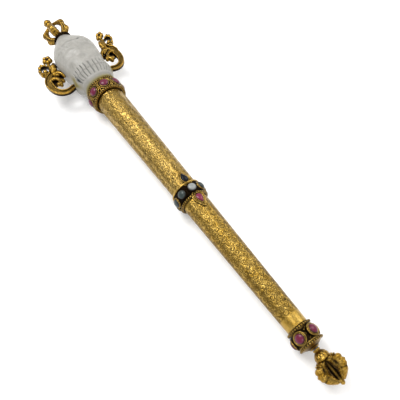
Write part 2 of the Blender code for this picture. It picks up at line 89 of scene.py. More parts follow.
def makeStudio():
    floor = bpy.data.objects.new("studioFloor", bpy.data.meshes.new("studioFloor"))
    bpy.context.collection.objects.link(floor)
    side = 6.0
    corners = [(-side, -side, 0), (side, -side, 0), (side, side, 0), (-side, side, 0)]
    floor.data.from_pydata(corners, [], [(0, 1, 2, 3)])
    paint = Look("studioPaper", base=studio["floorColour"], roughness=0.9,
                 glow=(1.0, 1.0, 1.0), glowStrength=studio["floorGlow"])
    floor.data.materials.append(paint.material)
    world = bpy.data.worlds.new("studioWorld")
    bpy.context.scene.world = world
    world.use_nodes = True
    sky = world.node_tree.nodes["Background"]
    sky.inputs["Color"].default_value = (*studio["worldColour"], 1.0)
    sky.inputs["Strength"].default_value = studio["worldStrength"]
    for name, (place, size, power, colour) in studio["lamps"].items():
        lamp = bpy.data.lights.new(name, "AREA")
        lamp.size = size
        lamp.energy = power
        lamp.color = colour
        holder = bpy.data.objects.new(name, lamp)
        bpy.context.collection.objects.link(holder)
        aim = (Vector((0.0, 0.0, 0.0)) - Vector(place)).to_track_quat("-Z", "Y")
        holder.matrix_world = Matrix.Translation(place) @ aim.to_matrix().to_4x4()
    bpy.context.scene.view_settings.view_transform = "Standard"


class Field:
    # a socket that can stand in a sum: each operator adds one Math node
    def __init__(self, look, socket):
        self.look = look
        self.socket = socket

    def __add__(self, other):
        return self.look.maths("ADD", self, other)

    def __radd__(self, other):
        return self.look.maths("ADD", other, self)

    def __sub__(self, other):
        return self.look.maths("SUBTRACT", self, other)

    def __rsub__(self, other):
        return self.look.maths("SUBTRACT", other, self)

    def __mul__(self, other):
        return self.look.maths("MULTIPLY", self, other)

    def __rmul__(self, other):
        return self.look.maths("MULTIPLY", other, self)

    def __pow__(self, other):
        return self.look.maths("POWER", self, other)


class Look:
    # one Principled material; its keyword values are set on the shader's own sockets
    sockets = {"base": "Base Color", "roughness": "Roughness", "metallic": "Metallic",
               "transmission": "Transmission Weight", "ior": "IOR",
               "specular": "Specular IOR Level", "glow": "Emission Color",
               "glowStrength": "Emission Strength"}

    def __init__(self, name, **plain):
        self.material = bpy.data.materials.new(name)
        self.material.use_nodes = True
        self.tree = self.material.node_tree
        self.shader = self.tree.nodes["Principled BSDF"]
        for key, value in plain.items():
            socket = self.shader.inputs[self.sockets[key]]
            colour = isinstance(value, tuple) and len(socket.default_value) == 4
            socket.default_value = (*value, 1.0) if colour else value

    def node(self, kind, settings=None, sockets=None, out=0):
        made = self.tree.nodes.new(kind)
        for key, value in (settings or {}).items():
            if key == "stops":
                ramp = made.color_ramp.elements
                while len(ramp) < len(value):
                    ramp.new(1.0)
                for stop, (position, colour) in zip(ramp, value):
                    stop.position = position
                    stop.color = (*colour, 1.0)
            else:
                setattr(made, key, value)
        for key, value in (sockets or {}).items():
            self.join(made.inputs[key], value)
        return Field(self, made.outputs[out])

    def join(self, socket, value):
        if isinstance(value, Field):
            self.tree.links.new(value.socket, socket)
        elif isinstance(value, tuple) and len(socket.default_value) == 4:
            socket.default_value = (*value, 1.0)
        else:
            socket.default_value = value

    def maths(self, operation, a, b):
        return self.node("ShaderNodeMath", {"operation": operation}, {0: a, 1: b})

    def held(self, value):
        # the value kept between 0 and 1
        return self.node("ShaderNodeMath", {"operation": "ADD", "use_clamp": True},
                         {0: value, 1: 0.0})

    def blend(self, share, low, high):
        # colour low where share is 0, colour high where it is 1
        return self.node("ShaderNodeMix", {"data_type": "RGBA"}, {0: share, 6: low, 7: high}, 2)

    def place(self):
        return self.node("ShaderNodeTexCoord", out="Object")

    def clouds(self, size, detail=3.0, roughness=0.5, warp=0.0):
        # noise whose features measure about size millimetres
        return self.node("ShaderNodeTexNoise", None,
                         {"Vector": self.place(), "Scale": 1000.0 / size, "Detail": detail,
                          "Roughness": roughness, "Distortion": warp})

    def crevice(self, reach):
        # 0 on open ground, towards 1 in hollows narrower than reach millimetres
        seen = self.node("ShaderNodeAmbientOcclusion", {"samples": 6},
                         {"Distance": reach * millimetre}, "AO")
        return 1.0 - seen

    def marked(self, name):
        # a value the piece carries on its own points
        return self.node("ShaderNodeAttribute", {"attribute_name": name}, out="Fac")

    def relief(self, height, strength, distance):
        # bumps from a height field; distance is in millimetres
        bump = self.node("ShaderNodeBump", None,
                         {"Strength": strength, "Distance": distance * millimetre,
                          "Height": height})
        self.join(self.shader.inputs["Normal"], bump)

    def feed(self, key, value):
        self.join(self.shader.inputs[self.sockets[key]], value)


gilt = {
    "polished": (0.53, 0.365, 0.110),
    "worn": (0.29, 0.165, 0.018),
    # the dark brown that the patina and the painted shade in hollows and recesses blend to
    "recess": (0.014, 0.008, 0.004),
    "roughness": (0.11, 0.29),
    "patch": 3.0,            # size of a worn patch
    "bump": (0.6, 0.20),     # strength and depth of the grain
    "patinaAndShadeNoise": (0.55, 0.9),    # how dark the patina and painted shade are everywhere, and how far noise varies it
    "patinaAndShadeRoughness": 0.25,
    # size of the grain, width of the hollows that patina and painted shade darken, how dark
    # they get, what both golds are multiplied by, and the noise where wear begins and is full
    "kinds": {
        "fireGilt": (0.35, 2.2, 1.9, (0.96, 0.92, 0.82), (0.32, 0.72)),
        "castGilt": (0.35, 2.2, 1.7, (0.90, 0.84, 0.66), (0.28, 0.62)),
        "chasedGilt": (0.28, 0.8, 1.15, (1.0, 1.0, 1.0), (0.25, 0.85)),
        "handledGilt": (0.28, 0.8, 1.25, (0.95, 0.93, 0.80), (0.25, 0.72)),
    },
}


def giltLook(name):
    # Colour: polished gold fading to worn by slow noise, then to the dark brown of patina and
    # painted shade by strength * (hollow ** 1.3 + the piece's own recess value) *
    # (even + varied * fine noise).
    grain, hollow, patinaAndShadeStrength, tint, wear = gilt["kinds"][name]
    look = Look(name, metallic=1.0)
    polished, worn = [tuple(a * b for a, b in zip(gilt[key], tint))
                      for key in ("polished", "worn")]
    patches = look.node("ShaderNodeValToRGB",
                        {"stops": [(wear[0], (0.0, 0.0, 0.0)), (wear[1], (1.0, 1.0, 1.0))]},
                        {"Fac": look.clouds(gilt["patch"], 4.0, 0.66)})
    fine = look.clouds(grain, 2.0)
    metal = look.blend(patches, polished, worn)
    # hollows found by occlusion hold patina and painted shade; the recess value is painted
    # shade, with dark spots at the shaft's pits
    patinaAndShadeMask = look.crevice(hollow) ** 1.3 + look.marked("recess")
    even, varied = gilt["patinaAndShadeNoise"]
    deep = look.held(patinaAndShadeMask * (patinaAndShadeStrength * (even + varied * fine)))
    look.feed("base", look.blend(deep, metal, gilt["recess"]))
    low, high = gilt["roughness"]
    look.feed("roughness", low + (high - low) * fine + gilt["patinaAndShadeRoughness"] * deep)
    look.relief(fine + 0.6 * look.clouds(grain * 4.0, 2.0), *gilt["bump"])
    return look


gem = {
    "clouds": (0.65, 1.3),   # times the colour where the clouds are dark and light
    # colour and strength of the painted shade along the girdle
    "girdle": (0.008, 0.004, 0.004),
    "girdleShare": 0.9,
    "cloudRoughness": 0.15,
    "ior": 1.60,
}

# colour of each stone, its roughness and how strongly it shines
gems = {
    "ruby": ((0.120, 0.004, 0.029), 0.16, 0.30),
    "moonstone": ((0.25, 0.26, 0.25), 0.22, 0.3),
    "darkGreenStone": ((0.022, 0.036, 0.034), 0.22, 0.3),
    "sapphire": ((0.003, 0.004, 0.007), 0.2, 0.12),
    "dropRuby": ((0.170, 0.008, 0.040), 0.18, 0.35),
}


def gemLook(name):
    # a cloudy cabochon: slow noise takes the body colour from darker to lighter, and painted
    # shade turns it nearly black along the girdle by girdleShare * the piece's own recess value
    colour, roughness, specular = gems[name]
    look = Look(name, roughness=roughness, specular=specular, ior=gem["ior"])
    cloud = look.clouds(1.6, 3.0, 0.6, 0.6)
    dark, light = [tuple(min(1.0, part * value) for value in colour) for part in gem["clouds"]]
    body = look.blend(cloud, dark, light)
    girdle = look.held(gem["girdleShare"] * look.marked("recess"))
    look.feed("base", look.blend(girdle, body, gem["girdle"]))
    look.feed("roughness", roughness + gem["cloudRoughness"] * cloud)
    return look


crystal = {
    "clear": (0.84, 0.83, 0.79),
    "milk": (0.335, 0.325, 0.297),
    # groove is the painted shade of the cuts, glow the painted yellow light of the gilt
    "groove": (0.16, 0.157, 0.147),
    "glow": (0.22, 0.18, 0.045),
    "stain": (0.020, 0.026, 0.034),
    "ior": 1.50,
    "clearRoughness": 0.12,
    "milkRoughness": 0.48,
    "milkShine": 0.3,
    "scatter": 0.35,         # share of light that goes a little way under the surface
    "scatterReach": (0.004, 0.004, 0.0038),
}


def crystalLook():
    # Clear crystal mixed with a milky body where slow clouds and thin veils run through it:
    # 0.60 + 0.20 * veils + 0.20 * clouds + 0.5 * stain is milk. The milk is painted darker as
    # shade in the cuts, is darker in the flaws, and takes a painted yellow glow, the gilt's
    # light seen in the crystal, where gilt metal lies against it.
    look = Look("rockCrystal", base=crystal["clear"], roughness=crystal["clearRoughness"],
                transmission=1.0, ior=crystal["ior"])
    veils = look.clouds(8.0, 4.0, 0.65, 1.6)
    body = look.clouds(22.0, 2.0, 0.5, 0.4)
    light = tuple(min(1.0, value * 1.18) for value in crystal["milk"])
    tone = look.blend(look.held(2.2 * veils - 0.6), crystal["milk"], light)
    for mark, colour in (("recess", "groove"), ("glow", "glow"), ("stain", "stain")):
        tone = look.blend(look.held(look.marked(mark)), tone, crystal[colour])
    milk = look.node("ShaderNodeBsdfPrincipled", None,
                     {"Base Color": tone, "Roughness": crystal["milkRoughness"],
                      "IOR": crystal["ior"], "Specular IOR Level": crystal["milkShine"],
                      "Subsurface Weight": crystal["scatter"],
                      "Subsurface Radius": crystal["scatterReach"]})
    share = look.held(0.60 + 0.20 * veils + 0.20 * body + 0.5 * look.marked("stain"))
    mixed = look.node("ShaderNodeMixShader", None,
                      {0: share, 1: Field(look, look.shader.outputs[0]), 2: milk})
    output = look.tree.nodes["Material Output"]
    look.tree.links.new(mixed.socket, output.inputs["Surface"])
    return look


def standing(points, onHead=False):
    # points (n, 3) in millimetres along the sceptre -> metres on the table
    p = np.array(points, dtype=float)
    if onHead:
        lean = math.radians(pose["headLean"])
        x = p[:, 0] - pose["headFoot"]
        y = p[:, 1].copy()
        p[:, 0] = pose["headFoot"] + x * math.cos(lean) - y * math.sin(lean)
        p[:, 1] = x * math.sin(lean) + y * math.cos(lean)
    slope = math.radians(pose["tableAngle"])
    x = p[:, 0] * math.cos(slope) - p[:, 2] * math.sin(slope)
    z = p[:, 0] * math.sin(slope) + p[:, 2] * math.cos(slope)
    p[:, 0] = x - pose["length"] / 2 * math.cos(slope)
    p[:, 2] = z + pose["axisHeight"]
    return p * millimetre


class Shells:
    # collects closed surfaces for one piece; each is a grid of points, rows of closed loops
    def __init__(self):
        self.points = []
        self.faces = []
        self.recess = []
        self.count = 0

    def add(self, grid, recess=0.0, loopRows=False):
        # rows wrap round in the second direction; loopRows joins last row to first as well;
        # recess is one darkness for all, or one for each row or point
        rows, around = grid.shape[:2]
        own = np.arange(rows * around).reshape(rows, around)
        low = own if loopRows else own[:-1]
        high = np.roll(own, -1, 0) if loopRows else own[1:]
        quads = np.stack([low, np.roll(low, -1, 1), np.roll(high, -1, 1), high], -1)
        quads = quads.reshape(-1, 4)
        points = grid.reshape(-1, 3)
        marks = np.broadcast_to(recess, (rows, around)).reshape(-1)
        faces = [quads]
        if not loopRows:
            first, last = len(points), len(points) + 1
            points = np.vstack([points, grid[0].mean(0), grid[-1].mean(0)])
            marks = np.append(marks, [marks[:around].mean(), marks[-around:].mean()])
            start, end = own[0], own[-1]
            faces.append(np.stack([np.roll(start, -1), start, np.full(around, first)], -1))
            faces.append(np.stack([end, np.roll(end, -1), np.full(around, last)], -1))
        if self.volume(points, faces) < 0:
            faces = [part[:, ::-1] for part in faces]
        self.faces += [part + self.count for part in faces]
        self.points.append(points)
        self.recess.append(marks)
        self.count += len(points)

    def volume(self, points, faces):
        total = 0.0
        for part in faces:
            a, b, c = points[part[:, 0]], points[part[:, 1]], points[part[:, 2]]
            total += np.einsum("ij,ij->", a, np.cross(b, c))
            if part.shape[1] == 4:
                d = points[part[:, 3]]
                total += np.einsum("ij,ij->", a, np.cross(c, d))
        return total

    def build(self, name, look, nodes=(), onHead=False, extra=None):
        points = standing(np.vstack(self.points), onHead)
        points[:, 2] = np.maximum(points[:, 2], 0.0)      # flats where it lies on the table
        sizes = np.concatenate([np.full(len(part), part.shape[1]) for part in self.faces])
        corners = np.concatenate([part.reshape(-1) for part in self.faces])
        starts = np.concatenate([[0], np.cumsum(sizes)[:-1]])
        mesh = bpy.data.meshes.new(name)
        mesh.vertices.add(len(points))
        mesh.vertices.foreach_set("co", points.reshape(-1))
        mesh.loops.add(len(corners))
        mesh.loops.foreach_set("vertex_index", corners.astype(np.int32))
        mesh.polygons.add(len(sizes))
        mesh.polygons.foreach_set("loop_start", starts.astype(np.int32))
        mesh.polygons.foreach_set("loop_total", sizes.astype(np.int32))
        mesh.update(calc_edges=True)
        mesh.shade_smooth()
        marks = mesh.attributes.new("recess", "FLOAT", "POINT")
        marks.data.foreach_set("value", np.concatenate(self.recess).astype(np.float32))
        for key, values in (extra or {}).items():
            mesh.attributes.new(key, "FLOAT", "POINT").data.foreach_set("value", values)
        mesh.materials.append(look.material)
        piece = bpy.data.objects.new(name, mesh)
        bpy.context.collection.objects.link(piece)
        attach(piece, "root")
        if nodes:
            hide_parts(*nodes)
        return piece


def turns(count):
    return np.linspace(0.0, math.tau, count, endpoint=False)


def shares(count):
    return np.linspace(0.0, 1.0, count)


def read(share, values):
    # values given at even steps, read off at each share
    return np.interp(share, shares(len(values)), values)


def unit(value):
    return np.clip(value, 0.0, 1.0)


def bell(value, middle, width, power=2):
    # a soft hump: exp(-((value - middle) / width) ^ power)
    return np.exp(-((value - middle) / width) ** power)


def bent(value, power):
    # |value| ^ power with the sign of value; a power below 1 makes a circle boxy
    return np.sign(value) * np.abs(value) ** power


def turned(x, radius, around):
    # surface of revolution round the shaft's axis: (x, r sin t, r cos t)
    t = turns(around)
    x = np.asarray(x, dtype=float)
    r = np.asarray(radius, dtype=float)
    if r.ndim == 1:
        r = np.repeat(r[:, None], around, 1)
    return np.stack([np.repeat(x[:, None], around, 1), r * np.sin(t), r * np.cos(t)], -1)


def through(points, count):
    # count points, evenly shared, on the Catmull-Rom curve through the given ones
    p = np.array(points, dtype=float)
    padded = np.vstack([2 * p[0] - p[1], p, 2 * p[-1] - p[-2]])
    u = np.linspace(0, len(p) - 1, count)
    k = np.minimum(u.astype(int), len(p) - 2)
    t = (u - k)[:, None]
    a, b, c, d = padded[k], padded[k + 1], padded[k + 2], padded[k + 3]
    return 0.5 * (2 * b + (c - a) * t + (2 * a - 5 * b + 4 * c - d) * t ** 2
                  + (3 * b - a - 3 * c + d) * t ** 3)


def steady(points, count):
    # the same curve with its points at equal distances
    fine = through(points, count * 8)
    run = np.append(0.0, np.cumsum(np.linalg.norm(np.diff(fine, axis=0), axis=1)))
    even = np.linspace(0.0, run[-1], count)
    return np.stack([np.interp(even, run, fine[:, k]) for k in range(fine.shape[1])], -1)


def carried(path, across, up, normal=(0.0, 0.0, 1.0)):
    # a section carried along a path: path + side * across + normal * up, where side is
    # square to the path and to the given normal
    tangent = np.gradient(path, axis=0)
    tangent /= np.linalg.norm(tangent, axis=1)[:, None]
    normal = np.broadcast_to(np.array(normal, dtype=float), path.shape)
    side = np.cross(normal, tangent)
    side /= np.linalg.norm(side, axis=1)[:, None]
    upward = np.cross(tangent, side)
    return path[:, None] + side[:, None] * across[..., None] + upward[:, None] * up[..., None]


def rounded(share, blunt=0.06):
    # 1 along a sweep, closing like a half circle over the first and last blunt share
    near = unit(np.minimum(share, 1.0 - share) / blunt)
    return np.sqrt(np.clip(1.0 - (1.0 - near) ** 2, 0.0004, 1.0))


def spun(points, turn):
    # turned about the shaft's axis; a turn in degrees carries +z towards -y
    c, s = math.cos(math.radians(turn)), math.sin(math.radians(turn))
    x, y, z = points[..., 0], points[..., 1], points[..., 2]
    return np.stack([x, y * c - z * s, y * s + z * c], -1)


def tube(path, radius, sides=10, normal=(0.0, 0.0, 1.0), flat=1.0):
    # round or oval bar with closed, rounded ends; flat is its height over its width
    share = shares(len(path))
    r = np.broadcast_to(radius, len(path)) * rounded(share)
    v = turns(sides)
    return carried(path, r[:, None] * np.cos(v), flat * r[:, None] * np.sin(v), normal)


def ball(middle, radius, rows=7, sides=10):
    # a small round bead: circles of radius * cos(a) at heights radius * sin(a)
    a = np.linspace(-math.radians(80), math.radians(80), rows)[:, None]
    t = turns(sides)
    flat = np.stack([np.cos(a) * np.cos(t), np.cos(a) * np.sin(t), np.sin(a) + 0 * t], -1)
    return np.array(middle) + radius * flat


def beadedRing(shells, x, ring, wire, beads, squeeze, sides=12):
    # a wire round the shaft's axis whose thickness swells once a bead, with painted shade in
    # the gaps: wire * (1 - squeeze * (1 - |cos(beads t / 2)|))
    t = turns(beads * 10)
    v = turns(sides)
    swell = np.abs(np.cos(beads * t[:, None] / 2)) + 0 * v
    r = wire * (1.0 - squeeze * (1.0 - swell) ** 1.3)
    out = ring + r * np.cos(v)
    grid = np.stack([x + r * np.sin(v), out * np.sin(t)[:, None], out * np.cos(t)[:, None]], -1)
    shells.add(grid, 1.3 * (1.0 - swell), loopRows=True)


def outlineRing(outline, level, wire, sides=8):
    # a wire laid round a closed outline (n, 2) at one height
    path = np.column_stack([outline, np.full(len(outline), level)])
    following = np.roll(path, -1, 0) - np.roll(path, 1, 0)
    following /= np.linalg.norm(following, axis=1)[:, None]
    side = np.stack([following[:, 1], -following[:, 0], np.zeros(len(path))], -1)
    v = turns(sides)[:, None]
    return path[:, None] + wire * (side[:, None] * np.cos(v) + (0.0, 0.0, 1.0) * np.sin(v))


def circle(radius, count):
    t = turns(count)
    return np.stack([radius * np.cos(t), radius * np.sin(t)], -1)


def pear(halfLength, halfWidth, count, grow=0.0):
    # pear outline with its point at +x, widened evenly all round by grow
    t = turns(count)
    return np.stack([(halfLength + grow * 1.5) * np.cos(t),
                     (halfWidth + grow) * 1.25 * np.sin(t) * np.abs(np.sin(t / 2))], -1)


def layered(outline, share, level):
    # one row of an outline per share of its size and level of its height
    flat = outline[None] * np.array(share)[:, None, None]
    height = np.broadcast_to(np.array(level)[:, None, None], flat.shape[:2] + (1,))
    return np.concatenate([flat, height], -1)


def dome(outline, foot, height, rows=9):
    # a cabochon over an outline: shares cos(a) of it at heights sin(a), over a short girdle
    a = np.linspace(0.0, math.radians(86), rows)
    level = foot + 0.35 + (height - 0.35) * np.sin(a)
    return layered(outline, [0.9, 1.0, *np.cos(a)], [foot, foot + 0.12, *level])


def disc(outline, low, high):
    # a flat-topped plate under an outline
    return layered(outline, [0.96, 1.0, 1.0, 0.96], [low, low + 0.1, high - 0.1, high])


def seated(grid, x, turn, slope=0.0):
    # a grid built over the origin, z outward, stood on the shaft at x and turn; slope tilts it
    # as the shaft widens
    moved = grid + (x, 0.0, 0.0)
    moved[..., 2] += grid[..., 0] * slope
    return spun(moved, turn)


shaft = {
    "foot": 38.1,
    "head": 263.6,
    "footRadius": 6.75,
    "headRadius": 11.0,
    "join": 145.6,           # the two halves meet under the middle band
    "cell": 0.33,            # size of one facet
    "around": 204,
    "pits": 2,
    "pit": (0.3, 0.8, 0.35),     # depth, darkness, square of the width
    "stippleHeight": 0.03,
    "fleckShade": 0.40,          # painted shade in the short cuts
}

# vines round the shaft, length of one bay, radius of a spiral, half width of a stem, height of
# the relief (below 0 it is cut in), painted shade at its foot (in the cut where it is cut in),
# number and depth of the short cuts, painted shade in the low points of the stippled ground,
# and where leafy sprays on their spines take over
chasing = {
    "lower": {"from": 45.5, "to": 138.5, "vines": 11, "bay": 3.8, "spiral": 1.7, "stem": 0.22,
              "lift": -0.22, "shade": 0.72, "flecks": 2200, "fleck": 0.13, "stipple": 0.25},
    "upper": {"from": 152.5, "to": 250.5, "vines": 12, "bay": 3.6, "spiral": 1.5, "stem": 0.28,
              "lift": 0.26, "shade": 0.85, "flecks": 2600, "fleck": 0.12, "stipple": 0.2,
              "sprays": (226.0, 250.0), "spines": 9},
}


def shaftRadius(x):
    share = (x - shaft["foot"]) / (shaft["head"] - shaft["foot"])
    return shaft["footRadius"] + (shaft["headRadius"] - shaft["footRadius"]) * share


def stroke(height, x, turn, path, width, lift):
    # raises a rounded ridge along a path of (x, turn) points: lift * sqrt(1 - (d / width)^2)
    reach = float(np.max(width))
    rows = np.where((x > path[:, 0].min() - reach) & (x < path[:, 0].max() + reach))[0]
    radius = shaftRadius(path[:, 0].mean())
    middle = path[:, 1].mean()
    span = np.abs(path[:, 1] - middle).max() + reach / radius
    away = (turn - middle + math.pi) % math.tau - math.pi
    columns = np.where(np.abs(away) < span)[0]
    if not len(rows) or not len(columns):
        return
    dx = x[rows][:, None, None] - path[:, 0]
    dt = (away[columns][None, :, None] - (path[:, 1] - middle)) * radius
    near = (dx ** 2 + dt ** 2) / np.broadcast_to(width, len(path)) ** 2
    rise = (lift * np.sqrt(unit(1.0 - near))).max(-1)
    window = np.ix_(rows, columns)
    height[window] = np.maximum(height[window], rise)


def spiralPath(middleX, middleTurn, radius, side, start, rounds, count=46):
    # a spiral that closes on its middle: r = radius * (1 - 0.86 s), turning round with s
    s = shares(count)
    r = radius * (1.0 - 0.86 * s ** 0.9)
    a = start + side * rounds * math.tau * s
    scale = shaftRadius(middleX)
    return np.stack([middleX + r * np.cos(a), middleTurn + r * np.sin(a) / scale], -1)


# lengths are shares of a spiral's radius, widths shares of a stem's
vine = {
    "sway": 0.85,            # of the stem to either side
    "offset": 0.30,          # of a spiral's middle from the stem's line
    "stray": 0.12,           # share of its bay by which a spiral moves along it
    "size": (0.75, 1.15),
    "rounds": (0.9, 1.5),    # turns of a spiral
    "spiralWidth": (1.05, 0.75),
    "leaf": 0.46,
    "leafBend": 0.9,
    "leafWidth": (0.7, 1.0, 0.35),
    "leafHeight": 0.9,       # share of the stem's
}


def vineRelief(form, x, turn, plan, high, grit):
    # wavy stems with a closing spiral in each bay and leaves on the spiral's back
    low, length, spiral, stem = [plan[key] for key in ("from", "bay", "spiral", "stem")]
    bays = int((high - low) / length)
    for row in range(plan["vines"]):
        base = math.tau * row / plan["vines"] + 0.35
        shift = (row % 2) * length * 0.5
        along = np.linspace(low - 2.0, high + 2.0, bays * 14)
        wave = np.sin(math.pi * (along - low - shift) / length)
        sway = spiral * vine["sway"] / shaftRadius(along)
        for part in np.array_split(np.arange(len(along)), bays):
            ends = slice(part[0], min(part[-1] + 2, len(along)))
            path = np.stack([along[ends], base + sway[ends] * wave[ends]], -1)
            stroke(form, x, turn, path, stem, 1.0)
        for bay in range(bays):
            stray = grit.uniform(-vine["stray"], vine["stray"])
            middleX = low + shift + (bay + 0.5 + stray) * length
            if middleX > high - spiral * 0.4:
                continue
            side = 1 if bay % 2 == 0 else -1
            scale = shaftRadius(middleX)
            middleTurn = base - side * spiral * vine["offset"] / scale
            start = side * grit.uniform(0.2, 1.1) * math.pi
            size = spiral * grit.uniform(*vine["size"])
            rounds = grit.uniform(*vine["rounds"])
            path = spiralPath(middleX, middleTurn, size, side, start, rounds)
            width = stem * np.linspace(*vine["spiralWidth"], len(path))
            stroke(form, x, turn, path, width, 1.0)
            for root in path[3:33:5]:
                out = root - (middleX, middleTurn)
                out = out / math.hypot(out[0], out[1] * scale)
                lean = np.array([-out[1] * scale, out[0] / scale]) * side
                s = shares(7)[:, None]
                bend = out * s + lean * s ** 2 * vine["leafBend"]
                blade = root + bend * spiral * vine["leaf"]
                width = stem * np.interp(s[:, 0], [0, 0.45, 1], vine["leafWidth"])
                stroke(form, x, turn, blade, width, vine["leafHeight"])


spray = {
    "step": 1.6,
    "reach": (2.9, 1.1),     # of a leaf at the fullest place, and how much less it gets
    "full": (238.0, 12.0),   # the fullest place, and the distance over which it gets less
    "run": (2.0, 3.2),
    "width": (0.24, 0.40, 0.16),
    "wander": 0.05,
}


def sprayRelief(form, x, turn, plan, grit):
    # below the collar: leaves spreading in pairs from spines that wander, as on a feather
    low, high = plan["sprays"]
    for spine in range(plan["spines"]):
        base = math.tau * (spine + 0.4) / plan["spines"]
        for start in np.arange(low, high - 2.2, spray["step"]) + grit.uniform(0.0, 1.2):
            s = shares(8)
            wander = spray["wander"] * math.sin(start * 0.7 + spine)
            for side in (-1, 1):
                (most, less), (full, fade) = spray["reach"], spray["full"]
                reach = (most - less * abs(start - full) / fade) * grit.uniform(0.7, 1.1)
                run = grit.uniform(*spray["run"])
                out = side * reach * s ** 0.8 / shaftRadius(start)
                path = np.stack([start + run * s ** 1.2, base + wander + out], -1)
                width = np.interp(s, [0, 0.55, 1], spray["width"])
                stroke(form, x, turn, path, width, 1.0)


def fleckRelief(form, x, turn, plan, grit):
    # short chisel cuts at scattered places, most of them slanting along the shaft
    for _ in range(plan["flecks"]):
        at = np.array([grit.uniform(plan["from"], plan["to"]), grit.uniform(0.0, math.tau)])
        lean = grit.normal(0.0, 0.8)
        way = np.array([math.cos(lean), math.sin(lean) / shaftRadius(at[0])])
        s = np.linspace(-1.0, 1.0, 5)[:, None]
        stroke(form, x, turn, at + s * grit.uniform(0.4, 1.1) * way, 0.30, 1.0)


def softened(field, reach):
    # box average over a few cells each way, wrapping round the shaft
    out = np.zeros_like(field)
    padded = np.pad(field, ((reach, reach), (0, 0)), mode="edge")
    for shift in range(2 * reach + 1):
        out += padded[shift:shift + len(field)]
    out /= 2 * reach + 1
    total = sum(np.roll(out, shift, 1) for shift in range(-reach, reach + 1))
    return total / (2 * reach + 1)


def makeShaftHalf(name, look, low, high, plan, seed):
    x = np.linspace(low, high, int((high - low) / shaft["cell"]))
    turn = turns(shaft["around"])
    form = np.zeros((len(x), len(turn)))
    grit = np.random.default_rng(seed)
    vineRelief(form, x, turn, plan, plan["sprays"][0] if "sprays" in plan else plan["to"], grit)
    if "sprays" in plan:
        sprayRelief(form, x, turn, plan, grit)
    cuts = np.zeros_like(form)
    fleckRelief(cuts, x, turn, plan, grit)
    cuts *= unit(1.0 - 1.4 * form)
    # the chasing fades out at the borders of its field
    field = unit(np.minimum(x - plan["from"] + 1.0, plan["to"] + 1.0 - x) / 1.5)
    field = field[:, None]
    stipple = softened(grit.normal(0.0, 1.0, form.shape), 1) * (form < 0.1)
    shade = form if plan["lift"] < 0 else unit(2.4 * (softened(form, 1) - form))
    ground = field * (plan["lift"] * form - plan["fleck"] * cuts
                      + shaft["stippleHeight"] * stipple)
    # recess holds painted shade at the foot of raised forms or in the lines cut in, in the
    # short cuts and in the stipple's low points; the pits below darken it too
    recess = field * (plan["shade"] * shade + shaft["fleckShade"] * cuts
                      + plan["stipple"] * unit(-stipple))
    depth, dark, spread = shaft["pit"]
    for _ in range(shaft["pits"]):
        at = grit.uniform(plan["from"], plan["to"]), grit.uniform(-1.2, 1.2)
        across = ((turn - at[1] + math.pi) % math.tau - math.pi) * shaftRadius(at[0])
        hole = np.exp(-((x[:, None] - at[0]) ** 2 + across ** 2) / spread)
        ground -= depth * hole
        recess += dark * hole
    radius = shaftRadius(x)[:, None] + ground - max(plan["lift"], 0.0) * 0.5
    shells = Shells()
    shells.add(turned(x, radius, shaft["around"]), recess)
    shells.build(name, look, ["shaft"])


def makeShaft(look, lowerLook):
    makeShaftHalf("shaftLower", lowerLook, shaft["foot"], shaft["join"], chasing["lower"], 7)
    makeShaftHalf("shaftUpper", look, shaft["join"], shaft["head"], chasing["upper"], 11)
    print("shaft chased")


def makeStone(name, look, node, outline, x, turn, foot, height):
    # a cabochon whose girdle is painted dark as shade from 0.78 of the outline outwards
    shells = Shells()
    grid = dome(outline, foot, height)
    share = np.linalg.norm(grid[..., :2], axis=-1) / np.linalg.norm(outline, axis=1)
    shells.add(seated(grid, x, turn), unit((share - 0.78) / 0.22))
    shells.build(name, look, [node])


def settings(plan):
    # the turn of each setting of a collar, in degrees
    return [plan["turn"] + 360.0 * k / plan["stones"] for k in range(plan["stones"])]


def makeStones(name, node, plan, kinds):
    # the round stones of a collar; kinds gives a look for each, and a slot that is not used
    for k, (turn, (look, slot)) in enumerate(zip(settings(plan), kinds)):
        makeStone(f"{name}{k + 1}", look, f"{node}_{k + 1}", circle(plan["stone"], 28),
                  plan["middle"], turn, plan["stoneFoot"], plan["stoneHeight"])


def collarBody(shells, plan, loopRows=True):
    # the turned body of a collar through the places, radii and darknesses of its profile
    x, r, dark = np.array(plan["profile"]).T
    shells.add(turned(x, r, plan["around"]), dark[:, None], loopRows)


def collet(shells, plan, turn, dark=0.0):
    # a sunk plate, a wire against the stone, a sloping wall and a thin outer wire; the plate
    # and the wall are painted dark as the shade round the stone, and dark paints the wires with
    # shade as well
    x, stone = plan["middle"], plan["stone"]
    floor, lip, width = plan["collet"]
    plate = disc(circle(stone + 0.5, 32), floor - 0.9, floor)
    shells.add(seated(plate, x, turn), 1.5)
    # distance from the stone, level against the lip, painted shade
    slope = ((0.30, -0.75, 1.5), (0.55 * width + 0.1, -1.15, 1.8), (width - 0.15, -1.25, 1.6),
             (width - 0.05, -2.4, 1.2), (0.30, -2.4, 1.5))
    wall = np.stack([np.column_stack([circle(stone + out, 48), np.full(48, lip + up)])
                     for out, up, shade in slope])
    shells.add(seated(wall, x, turn), np.array(slope)[:, 2:], loopRows=True)
    thick = min(0.30, width * 0.3)
    for out, level, wire in ((0.20, -0.42, 0.18), (width - thick, -0.80, thick)):
        grid = outlineRing(circle(stone + out, 48), lip + level, wire)
        shells.add(seated(grid, x, turn), dark, loopRows=True)


